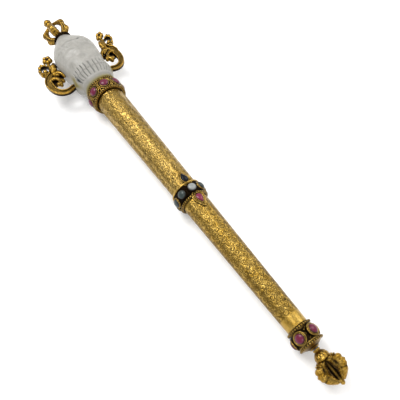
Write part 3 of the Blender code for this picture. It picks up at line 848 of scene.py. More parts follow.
upperCollar = {
    "low": 251.5,
    "high": 264.3,
    "middle": 257.6,         # the stones sit a little below the middle
    "rim": 13.4,
    "body": 12.0,
    # place, radius and painted shade of each corner of the turned body: the face in the gap to
    # the shaft, the trough round the settings and the top inner face are painted darker
    "profile": ((251.9, 10.95, 0.1), (251.8, 12.0, 0.0), (251.8, 12.2, 0.0), (252.0, 12.5, 0.0),
                (253.4, 12.5, 0.2), (253.8, 11.7, 0.4), (262.0, 11.7, 0.4), (262.4, 12.5, 0.2),
                (263.9, 12.5, 0.0), (264.2, 12.0, 0.0), (264.2, 11.4, 0.3)),
    "around": 120,
    "turn": 0.0,
    "stones": 8,
    "stone": 3.4,
    "stoneFoot": 12.95,
    "stoneHeight": 2.1,
    "collet": (12.8, 13.8, 1.7),     # level of its floor and lip, width of its wall
    "wire": 0.78,
    "beads": 48,
    # place and distance from the axis of the pillar between two settings
    "pillar": ((253.7, 0.0, 12.3), (255.6, 0.0, 12.95), (257.6, 0.0, 13.1),
               (259.8, 0.0, 12.95), (262.1, 0.0, 12.3)),
    "leafRoots": (253.5, 262.3),
    # share of the way to the middle, distance from the pillar
    "leaf": ((0.0, 2.6), (0.22, 1.9), (0.5, 0.9), (0.8, 0.25)),
    "leafHalf": (0.62, 0.25),
}


def turnedWire(x, ring, wire, around=140, sides=10, flat=1.0):
    # a plain wire round the shaft's axis; flat is its width along the axis over its height
    v = turns(sides)
    return np.stack([turned(np.array([x + flat * wire * math.sin(b)]),
                            np.array([ring + wire * math.cos(b)]), around)[0]
                     for b in v], 1)


def lifted(path, level):
    # (x, y) points laid on a cylinder whose radius is level
    path = np.array(path)
    return np.column_stack([path, np.sqrt(level ** 2 - path[:, 1] ** 2)])


def makeUpperCollar(look, ruby):
    plan = upperCollar
    low, high, middle, body, rim, wire = [
        plan[key] for key in ("low", "high", "middle", "body", "rim", "wire")]
    shells = Shells()
    collarBody(shells, plan)
    for edge, way in ((low, 1), (high, -1)):
        beadedRing(shells, edge + way * wire, rim - wire, wire, plan["beads"], 0.45)
        shells.add(turnedWire(edge + way * (2.0 * wire + 0.35), rim - 1.0, 0.36), loopRows=True)
    for turn in settings(plan):
        collet(shells, plan, turn)
        between = turn + 180.0 / plan["stones"]
        # a slim pillar with a pair of pointed leaves at each end fills the space between
        girth = 0.45 + 0.35 * np.abs(np.linspace(-1.0, 1.0, 25)) ** 1.5
        pillar = tube(steady(plan["pillar"], 25), girth, 12, (0, 1, 0))
        shells.add(spun(pillar, between))
        for root in plan["leafRoots"]:
            for side in (-1, 1):
                leaf = [(root + (middle - root) * share, side * out)
                        for share, out in plan["leaf"]]
                path = steady(lifted(leaf, body + 0.45), 18)
                shells.add(spun(tube(path, np.linspace(*plan["leafHalf"], 18), 8), between))
    shells.build("upperCollar", look, ["upper_collar"])
    makeStones("upperRuby", "ruby_upper", plan, [(ruby, "ruby")] * plan["stones"])
    print("upper collar set")


midBand = {
    "low": 139.8,
    "high": 151.4,
    "middle": 145.6,
    "rim": 10.7,
    "body": 9.7,
    # place, radius and painted shade of each corner; the trough between the rims and the inner
    # face are painted dark
    "profile": ((139.8, 9.4, 0.2), (140.0, 10.0, 0.0), (141.1, 10.1, 0.4), (141.4, 9.5, 1.0),
                (149.8, 9.5, 1.0), (150.1, 10.1, 0.4), (151.2, 10.0, 0.0), (151.4, 9.4, 0.2),
                (151.4, 8.6854, 0.5), (139.8, 8.4667, 0.5)),
    "around": 110,
    "turn": 8.0,
    "stones": 8,
    "stone": 2.9,
    "stoneFoot": 10.45,
    "stoneHeight": 1.85,
    "collet": (10.2, 11.0, 0.75),
    # the two settings whose wires are also painted dark as shade
    "darkCollets": (0, 7),
    "wire": 0.70,
    "beads": 40,
    # a rib in the corner of two settings: distance from the middle along and across
    "rib": ((1.0, 0.2), (2.6, 0.9), (3.9, 1.9)),
    "ribHalf": 0.26,
    "dropOffset": 9.4,
    "drop": (3.7, 2.4),
    "dropHeight": 1.5,
    "dropSlope": 0.0189,     # rise of its wires for each millimetre along the widening shaft
    # widening of each wire round a drop, its level above the drop's floor, its thickness
    "dropWires": ((0.28, 0.72, 0.20), (0.98, 0.30, 0.24), (1.66, -0.05, 0.34)),
    # widening and level of each plate under them, painted dark as the shade under the wires
    "dropPlates": ((1.6, -0.35), (0.8, 0.05)),
}


def makeMidBand(look, stones):
    plan = midBand
    low, high, middle, body, rim, wire = [
        plan[key] for key in ("low", "high", "middle", "body", "rim", "wire")]
    shells = Shells()
    collarBody(shells, plan)
    beadedRing(shells, low + wire, rim - wire, wire, plan["beads"], 0.2)
    shells.add(turnedWire(high - wire, rim - wire, wire), loopRows=True)
    for k, turn in enumerate(settings(plan)):
        collet(shells, plan, turn, 0.9 if k in plan["darkCollets"] else 0.0)
        # thin ribs, painted dark as the shade in the corners, fan out between two settings
        for end in (-1, 1):
            for side in (-1, 0, 1):
                rib = [(middle + end * along, side * across) for along, across in plan["rib"]]
                grid = tube(steady(lifted(rib, body + 0.1), 10), plan["ribHalf"], 6)
                shells.add(spun(grid, turn + 180.0 / plan["stones"]), 0.75)
    length, width = plan["drop"]
    for side in (1, -1):
        place = middle + side * plan["dropOffset"]
        floor = shaftRadius(place) + 0.8
        for grow, level, girth in plan["dropWires"]:
            grid = outlineRing(pear(length, width, 90, grow), floor + level, girth)
            grid[..., 0] *= side
            shells.add(seated(grid, place, plan["turn"], plan["dropSlope"]), loopRows=True)
        for grow, level in plan["dropPlates"]:
            plate = disc(pear(length, width, 48, grow) * (side, 1), floor - 1.8, floor + level)
            shells.add(seated(plate, place, plan["turn"]), 1.5)
    shells.build("midBand", look, ["mid_band"])
    dark = (stones["darkGreenStone"], "dark_green_stone")
    makeStones("bandStone", "stone_band", plan,
               [(stones["moonstone"], "moonstone")] + [dark] * (plan["stones"] - 1))
    for side, name, kind, slot in ((1, "sapphire", "sapphire", "sapphire"),
                                   (-1, "ruby", "dropRuby", "drop_ruby")):
        place = middle + side * plan["dropOffset"]
        makeStone(name + "Drop", stones[kind], name + "_drop",
                  pear(length, width, 40) * (side, 1), place, plan["turn"],
                  shaftRadius(place) + 1.05, plan["dropHeight"])
    print("middle band set")


lowerCollar = {
    "low": 25.8,
    "high": 37.8,
    "middle": 31.8,
    "rim": 8.3,
    "body": 7.0,
    # place, radius and painted shade of each corner; the cone below, the trough between the
    # rims and the inner face are painted darker
    "profile": ((23.4, 2.3, 0.1), (23.7, 2.9, 0.0), (24.5, 3.4, 0.5), (24.9, 4.6, 0.3),
                (25.7, 6.3, 0.2), (26.1, 7.3, 0.0), (27.7, 7.3, 0.3), (28.1, 6.7, 0.55),
                (35.5, 6.7, 0.55), (35.9, 7.3, 0.3), (37.3, 7.3, 0.0), (37.7, 6.8, 0.2),
                (37.7, 2.0, 0.4)),
    "around": 90,
    "turn": 30.0,
    "stones": 5,
    "stone": 2.95,
    "stoneFoot": 7.85,
    "stoneHeight": 1.9,
    "collet": (7.6, 8.6, 1.1),
    "wire": 0.70,
    "beads": 32,
    "grains": 260,
    "grain": 0.36,
}


def makeLowerCollar(look, ruby):
    plan = lowerCollar
    low, high, body, rim, wire = [plan[key] for key in ("low", "high", "body", "rim", "wire")]
    shells = Shells()
    collarBody(shells, plan, loopRows=False)
    beadedRing(shells, low + wire, rim - wire, wire, plan["beads"], 0.5)
    shells.add(turnedWire(low + 2.0 * wire + 0.4, rim - 1.1, 0.36), loopRows=True)
    beadedRing(shells, high - wire * 1.1, rim - wire * 1.1, wire * 1.1, plan["beads"], 0.5)
    for turn in settings(plan):
        collet(shells, plan, turn)
    # fine granulation on the ground between the settings
    grit = np.random.default_rng(3)
    for place, turn in zip(grit.uniform(low + 2.2, high - 2.2, plan["grains"]),
                           grit.uniform(0.0, 360.0, plan["grains"])):
        shells.add(spun(ball((place, 0.0, body - 0.20), plan["grain"], 5, 7), turn))
    shells.build("lowerCollar", look, ["lower_collar"])
    makeStones("lowerRuby", "ruby_lower", plan, [(ruby, "ruby")] * plan["stones"])
    print("lower collar set")


skull = {
    "foot": 264.9,
    "height": 59.5,
    # height above the foot, half width, lean towards the face, half depth
    "shape": (
        (0.0, 12.7, 0.4, 12.3), (2.4, 12.5, 0.6, 11.9), (4.8, 12.9, 0.9, 11.7),
        (7.3, 14.6, 1.3, 12.2), (10.2, 16.1, 1.6, 13.2), (13.8, 15.6, 1.7, 14.6),
        (18.4, 15.5, 1.45, 15.85), (24.2, 15.9, 1.25, 16.95), (30.0, 16.6, 1.3, 17.7),
        (36.8, 17.2, 1.55, 17.95), (42.6, 16.6, 1.95, 16.85), (48.4, 14.4, 2.85, 14.15),
        (53.2, 11.2, 4.1, 10.8), (57.0, 7.8, 5.8, 7.5), (59.5, 4.9, 7.5, 4.9)),
    # how boxy the face's section is at each height; 2 is a pure oval
    "squareness": ((14.0, 2.3), (26.0, 3.0), (44.0, 3.0), (54.0, 2.3)),
    "backSquareness": 2.3,
    "rows": 250,
    "around": 372,
    # carving, alike on both sides: depth (below 0 it stands out), height and distance from the
    # middle of the face, size both ways
    "carving": (
        (0.8, (28.8, 7.6), (3.8, 4.2)),      # eye sockets
        (0.3, (28.2, 6.9), (1.9, 2.1)),
        (1.2, (21.9, 1.3), (2.2, 1.4)),      # nose
        (-0.9, (26.4, 0.0), (3.2, 1.5)),     # its bridge
        (-1.2, (22.6, 11.0), (2.6, 2.8)),    # cheekbones
        (1.3, (18.6, 13.2), (2.8, 2.2))),    # hollows below them
    # height and distance from the middle along a line, its height or depth and its width
    "brow": (((31.9, 1.6), (33.4, 4.0), (33.6, 8.0), (31.6, 12.0)), 0.5, 1.0),
    "crest": (((40.4, -8.0), (42.2, -4.0), (42.0, 1.0), (40.6, 5.0)), 0.45, 0.8),
    # flaming brows: distance of each curl from the middle, and its reach upwards
    "curls": ((5.0, 3.0), (8.0, 3.0), (11.0, 2.4)),
    "curl": (0.35, 0.6),     # height and width of their ridges
    "eye": (36.0, -2.0),     # height and place across the face of the round eye
    "eyeRings": ((0.22, 3.2, 0.5), (0.2, 1.7, 0.4), (0.2, 0.0, 0.7)),   # lift, radius, width
    "teeth": (6.0, 17.2),    # height of their foot and top
    "bite": 11.6,
    "toothTurn": 11.0,       # degrees from tooth to tooth, and from the middle to the last
    "toothSpan": 60.5,
    # shares of the section: sink of a groove and of the gums, swell of the teeth
    "toothDepth": (0.060, 0.010, 0.012),
    "shades": (0.85, 0.35, 0.45),        # painted shade in the grooves, along the crest and on the foot
    "jawGlow": ((12.0, 74.0), (4.8, 10.0)),      # height and degrees, and size both ways
    # dark flaws inside the stone: place and size in height and degrees, and darkness
    "flaws": (((41.0, 13.0), (0.9, 4.5), 0.9), ((9.6, -53.0), (2.3, 5.0), 1.2),
              ((13.4, -56.0), (0.8, 2.0), 0.9), ((30.0, 44.0), (0.5, 1.5), 0.5)),
}


def eased(places, values, at):
    # cubic through (place, value) pairs with averaged slopes
    places, values = np.array(places), np.array(values)
    slopes = np.gradient(values, places)
    k = np.clip(np.searchsorted(places, at) - 1, 0, len(places) - 2)
    span = places[k + 1] - places[k]
    t = (at - places[k]) / span
    low = values[k] * (1 + 2 * t) * (1 - t) ** 2 + slopes[k] * span * t * (1 - t) ** 2
    high = values[k + 1] * t ** 2 * (3 - 2 * t) - slopes[k + 1] * span * t ** 2 * (1 - t)
    return low + high


def spot(along, across, middle, size):
    # a soft oval spot: a bell along times a bell across
    return bell(along, middle[0], size[0]) * bell(across, middle[1], size[1])


def ridge(along, across, path, width):
    # soft ridge along a path of (height, side) points: exp(-(d / width)^2)
    points = steady(path, 40)
    near = np.full(along.shape, 1e9)
    for h, y in points:
        near = np.minimum(near, (along - h) ** 2 + (across - y) ** 2)
    return np.exp(-near / width ** 2)


def makeSkull(look):
    rows, around = skull["rows"], skull["around"]
    h = np.linspace(0.0, skull["height"], rows)
    turn = (turns(around) + math.pi) % math.tau - math.pi
    table = np.array(skull["shape"])
    half, lean, depth = [eased(table[:, 0], table[:, k], h)[:, None] for k in (1, 2, 3)]
    s, c = np.sin(turn), np.cos(turn)
    boxy = np.interp(h, *zip(*skull["squareness"]))[:, None]
    power = 2.0 / np.where(c > 0, boxy, skull["backSquareness"])
    y = half * bent(s, power)
    z = lean + depth * bent(c, power)
    front = 1.0 / (1.0 + np.exp(-c * 14.0))
    side, height = np.abs(y), np.broadcast_to(h[:, None], y.shape)
    carve = sum(sink * spot(height, side, place, size)
                for sink, place, size in skull["carving"])
    line, lift, width = skull["brow"]
    carve -= lift * ridge(height, side, line, width)
    lift, width = skull["curl"]
    for start, reach in skull["curls"]:
        curl = [(34.6, start), (36.6, start + 0.6), (36.6 + reach * 0.6, start + 1.8),
                (35.9 + reach * 0.5, start + 2.8)]
        carve -= lift * ridge(height, side, curl, width)
    line, depth, width = skull["crest"]
    crest = ridge(height, y, line, width)
    carve += depth * crest
    ring = np.hypot(height - skull["eye"][0], y - skull["eye"][1])
    for lift, radius, width in skull["eyeRings"]:
        carve -= lift * bell(ring, radius, width)
    # teeth: grooves between them, a finer one where the rows meet, a swelling gum above
    low, high = skull["teeth"]
    inBand = unit((height - low) / 0.7) * unit((high - height) / 0.9)
    degrees = np.degrees(turn)
    inSpan = unit((skull["toothSpan"] + 1.0 - np.abs(degrees)) / 1.5)
    gap = (0.5 - 0.5 * np.cos(math.tau * degrees / skull["toothTurn"] + math.pi)) ** 6.0
    bite = bell(height, skull["bite"], 0.34)
    groove = inBand * inSpan * np.maximum(gap, 0.45 * bite)
    gums = inSpan * bell(height, high + 0.7, 0.8) * (0.6 + 0.4 * gap)
    z = z - carve * front
    sink, dip, rise = skull["toothDepth"]
    swell = 1.0 - sink * groove - dip * gums + rise * inBand * inSpan
    y, z = y * swell, z * swell
    grid = np.stack([np.broadcast_to(skull["foot"] + h[:, None], y.shape), -y, z], -1)
    # painted shade: the teeth grooves, the line of the crest and the foot are darkened
    between, line, foot = skull["shades"]
    cuts = between * groove + line * crest * front + foot * unit((5.5 - height) / 1.5)
    # painted glow: the light of the gilt collar and of the scrolls' roots is painted yellow
    # into the foot and the jaw
    glow = bell(height, 0.0, 2.0) + 1.5 * spot(height, np.abs(degrees), *skull["jawGlow"])
    stain = sum(dark * spot(height, degrees, place, size)
                for place, size, dark in skull["flaws"])
    extra = {key: np.append(values.reshape(-1), (0.0, 0.0)).astype(np.float32)
             for key, values in (("glow", glow), ("stain", stain))}
    shells = Shells()
    shells.add(grid, cuts)
    shells.build("crystalSkull", look, ["crystal_skull"], True, extra)
    print("skull carved")


# base and tip of each finial, height of its axis, turn of its first prong, places and radii of
# the turned core, foot and top of the petals, route of a prong and its half thickness at even
# steps outwards and sideways, share at which its head sits, offset of the curled snout, shares
# between which beads sit, painted shade on the middle rod, strength of the carving
topFinial = {
    "base": 324.7,
    "lift": 7.5,
    "tip": 353.5,
    "turn": -24.0,
    "core": ((0.0, 5.6), (0.3, 6.1), (0.9, 6.25), (1.3, 6.0), (1.7, 4.6), (2.2, 4.3),
             (2.6, 4.9), (3.2, 4.7), (4.2, 3.6), (5.4, 2.8), (7.5, 1.8), (12.0, 1.6),
             (17.0, 1.55), (19.2, 2.0), (19.8, 2.2), (20.4, 1.8), (21.0, 2.2), (21.6, 1.9),
             (22.1, 1.5), (22.7, 2.1), (23.8, 2.6), (25.2, 2.6), (26.6, 1.9), (27.8, 0.9),
             (28.5, 0.3)),
    "petals": (2.0, 6.0),
    "route": ((3.0, 2.4), (4.8, 5.4), (8.0, 7.5), (11.8, 7.9), (15.8, 8.2), (18.6, 5.6),
              (20.6, 1.9)),
    "deep": (2.0, 3.1, 3.1, 2.1, 3.1, 1.8, 1.2),
    "wide": (2.2, 3.2, 3.0, 2.2, 3.1, 1.7, 1.2),
    "head": 0.38,
    "curl": (-2.0, 1.3),
    "beads": (0.05, 0.30),
    "rodShade": 0.0,
    "carving": 0.65,
    "ring": (324.1, 6.9, 0.75),   # dark ring under the plate, dark metal with the gap's shadow painted on: place, radius, thickness
}

buttFinial = {
    "base": 23.1,
    "lift": 0.0,
    "tip": 0.0,
    "turn": 26.0,
    "core": ((0.0, 1.8), (0.3, 2.3), (1.0, 2.3), (1.3, 1.9), (2.2, 3.1), (3.6, 4.1), (5.2, 4.6),
             (5.8, 4.55), (6.0, 4.75), (6.6, 4.9), (7.1, 4.8), (7.4, 4.3), (8.4, 2.8),
             (12.0, 2.6), (17.0, 2.4), (20.6, 1.7), (21.0, 1.3), (21.6, 1.4), (22.4, 1.0),
             (22.9, 0.3)),
    "petals": (1.8, 5.6),
    "route": ((7.9, 2.4), (9.4, 4.8), (11.2, 6.5), (13.2, 7.2), (15.4, 6.7), (17.8, 4.9),
              (20.6, 1.9)),
    "deep": (1.8, 3.2, 4.2, 4.5, 4.0, 2.7, 1.1),
    "wide": (1.7, 2.3, 2.7, 2.8, 2.6, 2.0, 1.0),
    "head": 0.44,
    "rodShade": 0.32,
    "carving": 1.0,
    "curl": (2.2, 2.2),
    "beads": (0.03, 0.34),
}


# height of each raised form of a prong's monster head, its place along the prong from the
# head's middle and its angle from the outer side, and its size both ways; the cuts likewise,
# which sink the surface and are painted dark as shade
prong = {
    "raised": ((0.75, (0.05, 0.75), (0.040, 0.30)),      # eyes
               (0.45, (0.13, 0.55), (0.030, 0.50)),      # brows
               (0.55, (-0.09, 0.45), (0.045, 0.35)),     # nostrils
               (0.45, (-0.02, 1.75), (0.100, 0.25))),    # cheeks
    "cuts": ((0.8, (-0.04, 1.30), (0.110, 0.14)),        # mouth
             (0.7, (0.20, 0.0), (0.020, 1.5)),           # behind the head and before it
             (0.6, (-0.18, 0.0), (0.018, 1.3))),
    "knobs": (0.10, 6, 9.0),             # height, number round the prong and along it
    "beads": (0.62, 1.50, 0.24, 11.0),   # height, angle, width, number along the prong
    "snout": (1.75, 0.70),               # radius of the curl, share by which it closes
    "ribbon": (0.60, 0.18, 3.0),         # half thickness, how much thinner it gets, width
    "eyes": (1.35, 0.80),                # distance from the middle, radius
    "rootBead": 0.55,
    "flames": ((0.60, 1.0), (0.74, 0.8)),    # place along the prong, size
}


def prongRelief(share, outer, head):
    # carving of one prong, as millimetres outwards and as painted shade 0 to 1 in the cuts,
    # along the beads, in the knobs' hollows and on the inner side; share runs along the prong,
    # outer is the angle from its outer side
    side = np.abs((outer + math.pi) % math.tau - math.pi)
    rise, cut = [sum(height * spot(share - head, side, place, size)
                     for height, place, size in prong[key]) for key in ("raised", "cuts")]
    height, around, along = prong["knobs"]
    knobs = np.cos(around * outer) * np.cos(math.tau * share * along)
    rise = rise + height * knobs
    # two rows of beads edge the outer face from root to tip, each along a line of painted shade
    height, angle, width, along = prong["beads"]
    ends = unit(np.minimum(share, 1 - share) / 0.05)
    beads = bell(side, angle, width) * ends
    rise = rise + height * beads * np.abs(np.cos(math.tau * share * along))
    cut = cut + 0.35 * bell(side, 1.15, 0.14) + 0.14 * unit(-knobs) ** 2
    inner = unit((side - 2.0) / 0.6)
    return rise * (1.0 - inner) - 0.45 * cut, unit(0.75 * cut + 0.16 * inner)


def finialCore(plan, way):
    # the turned core: radius over length, two staggered rows of petals as rounded cells with
    # borders painted dark as shade, eight slight flutes on the bud, and painted shade on the
    # rod between the prongs
    core = np.array(plan["core"])
    length = core[-1, 0]
    s = np.linspace(0.0, length, 120)
    t = turns(120)
    low, high = plan["petals"]
    inPetals = (unit((s - low) / 0.6) * unit((high - s) / 0.6))[:, None]
    span = 1.6 * unit((s - low) / (high - low))[:, None]
    cell = np.maximum(np.abs(np.cos(6 * t) * np.sin(math.pi * unit(span))),
                      np.abs(np.sin(6 * t) * np.sin(math.pi * unit(span - 0.6))))
    bud = unit((s - length * 0.78) / 1.0)[:, None]
    r = np.interp(s, core[:, 0], core[:, 1])[:, None] + 0.36 * inPetals * (cell - 0.75)
    r = r * (1.0 + 0.05 * bud * np.cos(8 * t))
    rod = unit((s - high - 1.5) / 1.0) * unit((length * 0.88 - s) / 2.0)
    recess = inPetals * unit(0.9 - 1.7 * cell) + plan["rodShade"] * rod[:, None]
    return turned(plan["base"] + way * s, r, 120), recess


def makeFinial(name, plan, look, node, onHead):
    # a turned core with petals, and four prongs that swell into curled monster heads
    way = 1.0 if plan["tip"] > plan["base"] else -1.0
    shells = Shells()
    shells.add(*finialCore(plan, way))

    path = through([(plan["base"] + way * x, 0.0, r) for x, r in plan["route"]], 110)
    share = shares(len(path))
    v = turns(48)
    outer = v + (math.pi if way > 0 else 0.0)
    rise, groove = prongRelief(share[:, None], outer[None], plan["head"])
    deep, wide = [read(share, plan[key])[:, None] * 0.96 + plan["carving"] * rise
                  for key in ("deep", "wide")]
    close = rounded(share, 0.03)[:, None]
    normal = (0.0, 1.0, 0.0)
    bar = carried(path, deep * np.cos(v) * close, wide * np.sin(v) * close, normal)
    # the rolled snout: a flat ribbon wound into a curl outside the head
    head = path[int(round(plan["head"] * (len(path) - 1)))]
    u = shares(44)
    roll = u * 2.6 * math.pi - 0.6
    radius, closing = prong["snout"]
    reach = radius * (1.0 - closing * u)
    middle = head + (plan["curl"][0], 0.0, plan["curl"][1])
    curl = np.stack([middle[0] + way * reach * np.cos(roll), 0 * u,
                     middle[2] + reach * np.sin(roll)], -1)
    thick, thinner, width = prong["ribbon"]
    parts = [tube(curl, thick - thinner * u, 12, normal, width)]
    apart, radius = prong["eyes"]
    parts += [ball(middle + (0.0, eye, 0.0), radius) for eye in (-apart, apart)]
    # a row of beads along the root of the prong, and two tongues of flame behind the head
    for along in np.linspace(*plan["beads"], 5):
        k = int(along * (len(path) - 1))
        slope = path[k + 1] - path[k]
        out = np.array([-way * slope[2], 0.0, abs(slope[0])])
        lift = read(along, plan["deep"]) + 0.05
        parts.append(ball(path[k] + out / np.linalg.norm(out) * lift, prong["rootBead"]))
    for along, size in prong["flames"]:
        lift = read(along, plan["deep"])
        away = np.array([(0, 0, 0), (way * 0.9, 0, 0.8 * size), (way * 2.0, 0, 0.9 * size)])
        flame = steady(path[int(along * (len(path) - 1))] + away + (0, 0, lift * 0.6), 16)
        parts.append(tube(flame, 0.7 * size * np.linspace(1.0, 0.35, 16), 10, normal))
    # each prong carries its painted shade as groove
    for turn in plan["turn"] + 90.0 * np.arange(4):
        shells.add(spun(bar, turn), groove)
        for part in parts:
            shells.add(spun(part, turn))
    if "ring" in plan:
        place, radius, wire = plan["ring"]
        shells.add(turnedWire(place, radius, wire, 90, 10, 0.8), 2.0, loopRows=True)
    for part in shells.points:
        part[:, 2] += plan["lift"]
    shells.build(name, look, [node], onHead)
    print(name + " cast")


scroll = {
    "middle": 1.4,           # height of the strap's middle above the axis
    "half": 1.8,             # half its thickness
    "root": 17.2,
    "fan": (292.0, 18.0),    # where a scroll may start to bend outwards, and over what length
    "stem": ((278.2, 14.8), (278.2, 17.2), (277.4, 19.8), (277.2, 23.2), (279.0, 27.4),
             (283.0, 30.2), (288.0, 31.22), (293.2, 30.92), (297.4, 28.8), (300.2, 25.8),
             (303.0, 23.6), (306.0, 22.2)),
    "stemHalf": (2.0, 2.1, 2.1, 2.15, 2.3, 2.6, 2.9, 3.0, 2.7, 2.3, 1.9, 1.4),
    "stemDish": 0.45,        # how far the stem's middle is sunk
    "stemRibs": (0.05, 46.0),    # height and number of the cross ribs
    "edgeWire": 0.55,
    "ring": ((307.8, 27.1), (6.9, 5.05)),
    "hole": ((307.0, 26.3), (3.9, 3.1)),
    "ringHalf": 2.2,
    "ringPetals": (3, 0.10),     # number and height
    "ringScallop": 0.07,
    "ringKnobs": (9, 0.16),
    "bead": (305.8, 27.1, 0.4, 2.2),
    "beadStem": ((-3.2, 2.0), 1.3),      # where it starts from the bead, its radius
    # plates painted dark as the shadow behind the inner curl and under the second leaf
    "plates": (((291.2, 26.6), (3.4, 3.0)), ((294.2, 20.0), (2.6, 2.4))),
    # fleshy lobes: points, radii, rise of the tip
    "lobes": (
        (((293.0, 30.2), (295.4, 27.4), (295.0, 24.6), (292.6, 22.7), (289.4, 22.4),
          (287.4, 24.0), (288.0, 26.8)), (1.3, 1.7, 1.8, 1.8, 1.8, 1.7, 1.7), 1.0),
        (((291.0, 22.6), (289.8, 20.6), (288.2, 18.9)), (1.8, 1.9, 1.1), 0.6),
        (((289.2, 22.8), (286.4, 23.2), (285.2, 22.6)), (1.9, 1.6, 1.0), 0.4),
        (((298.0, 24.6), (299.6, 21.6), (299.0, 18.9), (296.6, 17.2), (293.6, 16.8),
          (292.0, 17.6)), (1.8, 2.2, 2.1, 1.9, 1.6, 1.0), 0.8),
        (((298.6, 22.6), (297.0, 20.8), (295.4, 20.2)), (1.6, 1.6, 0.9), 1.2),
        (((300.2, 23.6), (303.2, 21.2), (306.4, 19.2), (310.0, 17.4)),
         (1.8, 2.4, 2.6, 1.0), 2.0),
        (((301.0, 22.8), (302.8, 20.2), (303.2, 18.2)), (1.8, 2.2, 1.5), 1.8),
        (((302.8, 22.6), (306.2, 21.6), (309.4, 20.8)), (1.6, 2.1, 1.2), 1.6)),
    "neck": ((309.6, 22.4), (312.0, 21.4), (314.2, 20.6)),
    # blossom at the end: middle, radii of its circle of petals, their number and radius
    "blossom": ((316.0, 20.0, 1.2), (2.5, 2.2), 5, 2.15),
}


def lobe(path, radii, count=44, sides=18):
    # a swelling closed bar with a shallow crease along its upper side and fine cross ribs; the
    # crease is painted with shade
    path = through(path, count)
    share = shares(count)
    r = read(share, radii) * rounded(share, 0.12)
    v = turns(sides)
    crease = 0.16 * bell(np.cos(v), 0.0, 0.30) * (np.sin(v) > 0)
    ribs = 0.03 * np.cos(math.tau * 9.0 * share)[:, None] * np.abs(np.cos(v))
    out = r[:, None] * (1.0 - crease + ribs)
    recess = 0.45 * crease / 0.16 * unit(np.minimum(share, 1 - share) / 0.2)[:, None]
    return carried(path, out * np.cos(v), 1.15 * out * np.sin(v)), recess


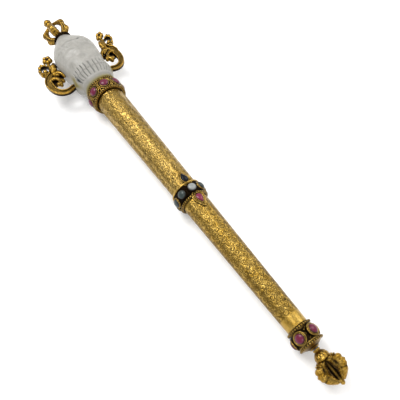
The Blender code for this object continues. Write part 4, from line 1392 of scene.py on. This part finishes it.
def makeScroll(name, side, spread, fan, look, node):
    # spread opens the scroll out from the skull, fan bends its upper end further out
    z = scroll["middle"]
    shells = Shells()

    def put(grid, recess=0.0, loopRows=False):
        start, run = scroll["fan"]
        out = grid.copy()
        bend = fan * np.maximum(0.0, (grid[..., 0] - start) / run)
        reach = scroll["root"] + (grid[..., 1] - scroll["root"]) * spread + bend
        out[..., 1] = reach * side
        shells.add(out, recess, loopRows)

    def level(points, rise=0.0):
        p = np.array(points, dtype=float)
        return np.column_stack([p, z + rise * shares(len(p))])

    # stem: a strap with a raised wire along each edge, a sunk middle and fine cross ribs
    path = through(level(scroll["stem"]), 150)
    share = shares(len(path))
    w = read(share, scroll["stemHalf"])
    v = turns(56)
    c, s = np.cos(v), np.sin(v)
    across = w[:, None] * bent(c, 0.7)
    dish = 1.0 - scroll["stemDish"] * bell(c, 0.0, 0.60, 6) * (s > 0)
    rise, count = scroll["stemRibs"]
    ribs = rise * np.cos(math.tau * count * share)[:, None] * bell(c, 0.72, 0.2)
    up = scroll["half"] * bent(s, 0.5) * (dish + ribs * (s > 0))
    close = rounded(share, 0.015)[:, None]
    # painted shade in the grooves beside the edge wires, in the sunk middle and on the lower
    # sides
    recess = (1.1 * bell(np.abs(c), 0.60, 0.13) + 0.30 * bell(c, 0.0, 0.55, 4)) * (s > 0)
    recess = recess + 0.8 * (s < 0.15) + 0 * across
    put(carried(path, across * close, up * close), recess)
    along = np.gradient(path, axis=0)
    along /= np.linalg.norm(along, axis=1)[:, None]
    beside = np.stack([-along[:, 1], along[:, 0], 0 * share], -1)
    thick = scroll["edgeWire"]
    for edge in (-1, 1):
        wire = path + edge * beside * (w - thick)[:, None] + (0.0, 0.0, scroll["half"] - 0.30)
        put(tube(wire, thick, 12))

    # ring: between the outline of its hole and a wider outline that swells into petals
    t = turns(120)[:, None]
    outward = np.concatenate([np.cos(t), np.sin(t)], -1)
    petals, rise = scroll["ringPetals"]
    petal = 1.0 + rise * (0.5 + 0.5 * np.cos(petals * t)) * (np.sin(t) > -0.5)
    knobs, swell = scroll["ringKnobs"]
    beaded = np.cos(knobs * t)
    scallop = 1.0 - scroll["ringScallop"] * np.abs(np.sin(knobs / 2 * t)) ** 0.5
    far = np.array(scroll["ring"][0]) + outward * scroll["ring"][1] * petal * scallop
    near = np.array(scroll["hole"][0]) + outward * scroll["hole"][1]
    v = turns(28)
    c, s = np.cos(v), np.sin(v)
    grid = np.empty((120, 28, 3))
    shape = bent(c, 0.8)[None, :, None]
    grid[..., :2] = ((far + near) / 2)[:, None] + ((far - near) / 2)[:, None] * shape
    outer = c > -0.2
    grid[..., 2] = z + scroll["ringHalf"] * (bent(s, 0.8) + swell * beaded * outer * (s > 0))
    # painted shade on the wall of the hole and between the knobs
    recess = 0.9 * (c < -0.55) * (s < 0.8) + 0.5 * (beaded < -0.5) * outer
    put(grid, recess, loopRows=True)
    x, y, rise, radius = scroll["bead"]
    put(ball((x, y, z + rise), radius, 14, 20))
    start, thick = scroll["beadStem"]
    put(tube(steady(level([(x + start[0], y + start[1]), (x, y)]), 12), thick, 12))
    # dark plates painted where the shadow falls
    for middle, size in scroll["plates"]:
        plate = disc(circle(1.0, 40) * size, z - 1.5, z - 0.6) + (*middle, 0.0)
        put(plate, 2.0)
    for points, radii, rise in scroll["lobes"]:
        put(*lobe(level(points, rise), radii))

    # blossom: petals round a hollow painted dark as shade, on a short neck
    put(tube(steady(level(scroll["neck"], 0.6), 16), 1.35, 12))
    (x, y, rise), reach, petals, radius = scroll["blossom"]
    put(ball((x, y, z + rise - 0.2), 2.3, 9, 16), 1.6)
    for angle in turns(petals) + 0.4:
        at = (x + reach[0] * math.cos(angle), y + reach[1] * math.sin(angle), z + rise)
        put(ball(at, radius, 9, 14))
    shells.build(name, look, [node], onHead=True)
    print(name + " cast")


makeCamera()
makeStudio()
golds = {name: giltLook(name) for name in gilt["kinds"]}
stones = {name: gemLook(name) for name in gems}
makeShaft(golds["chasedGilt"], golds["handledGilt"])
makeUpperCollar(golds["fireGilt"], stones["ruby"])
makeMidBand(golds["fireGilt"], stones)
makeLowerCollar(golds["fireGilt"], stones["ruby"])
makeSkull(crystalLook())
makeFinial("topFinial", topFinial, golds["castGilt"], "top_finial", True)
makeFinial("buttFinial", buttFinial, golds["castGilt"], "butt_finial", False)
makeScroll("leftScroll", 1, 0.96, 0.0, golds["castGilt"], "scroll_left")
makeScroll("rightScroll", -1, 0.88, 6.5, golds["castGilt"], "scroll_right")
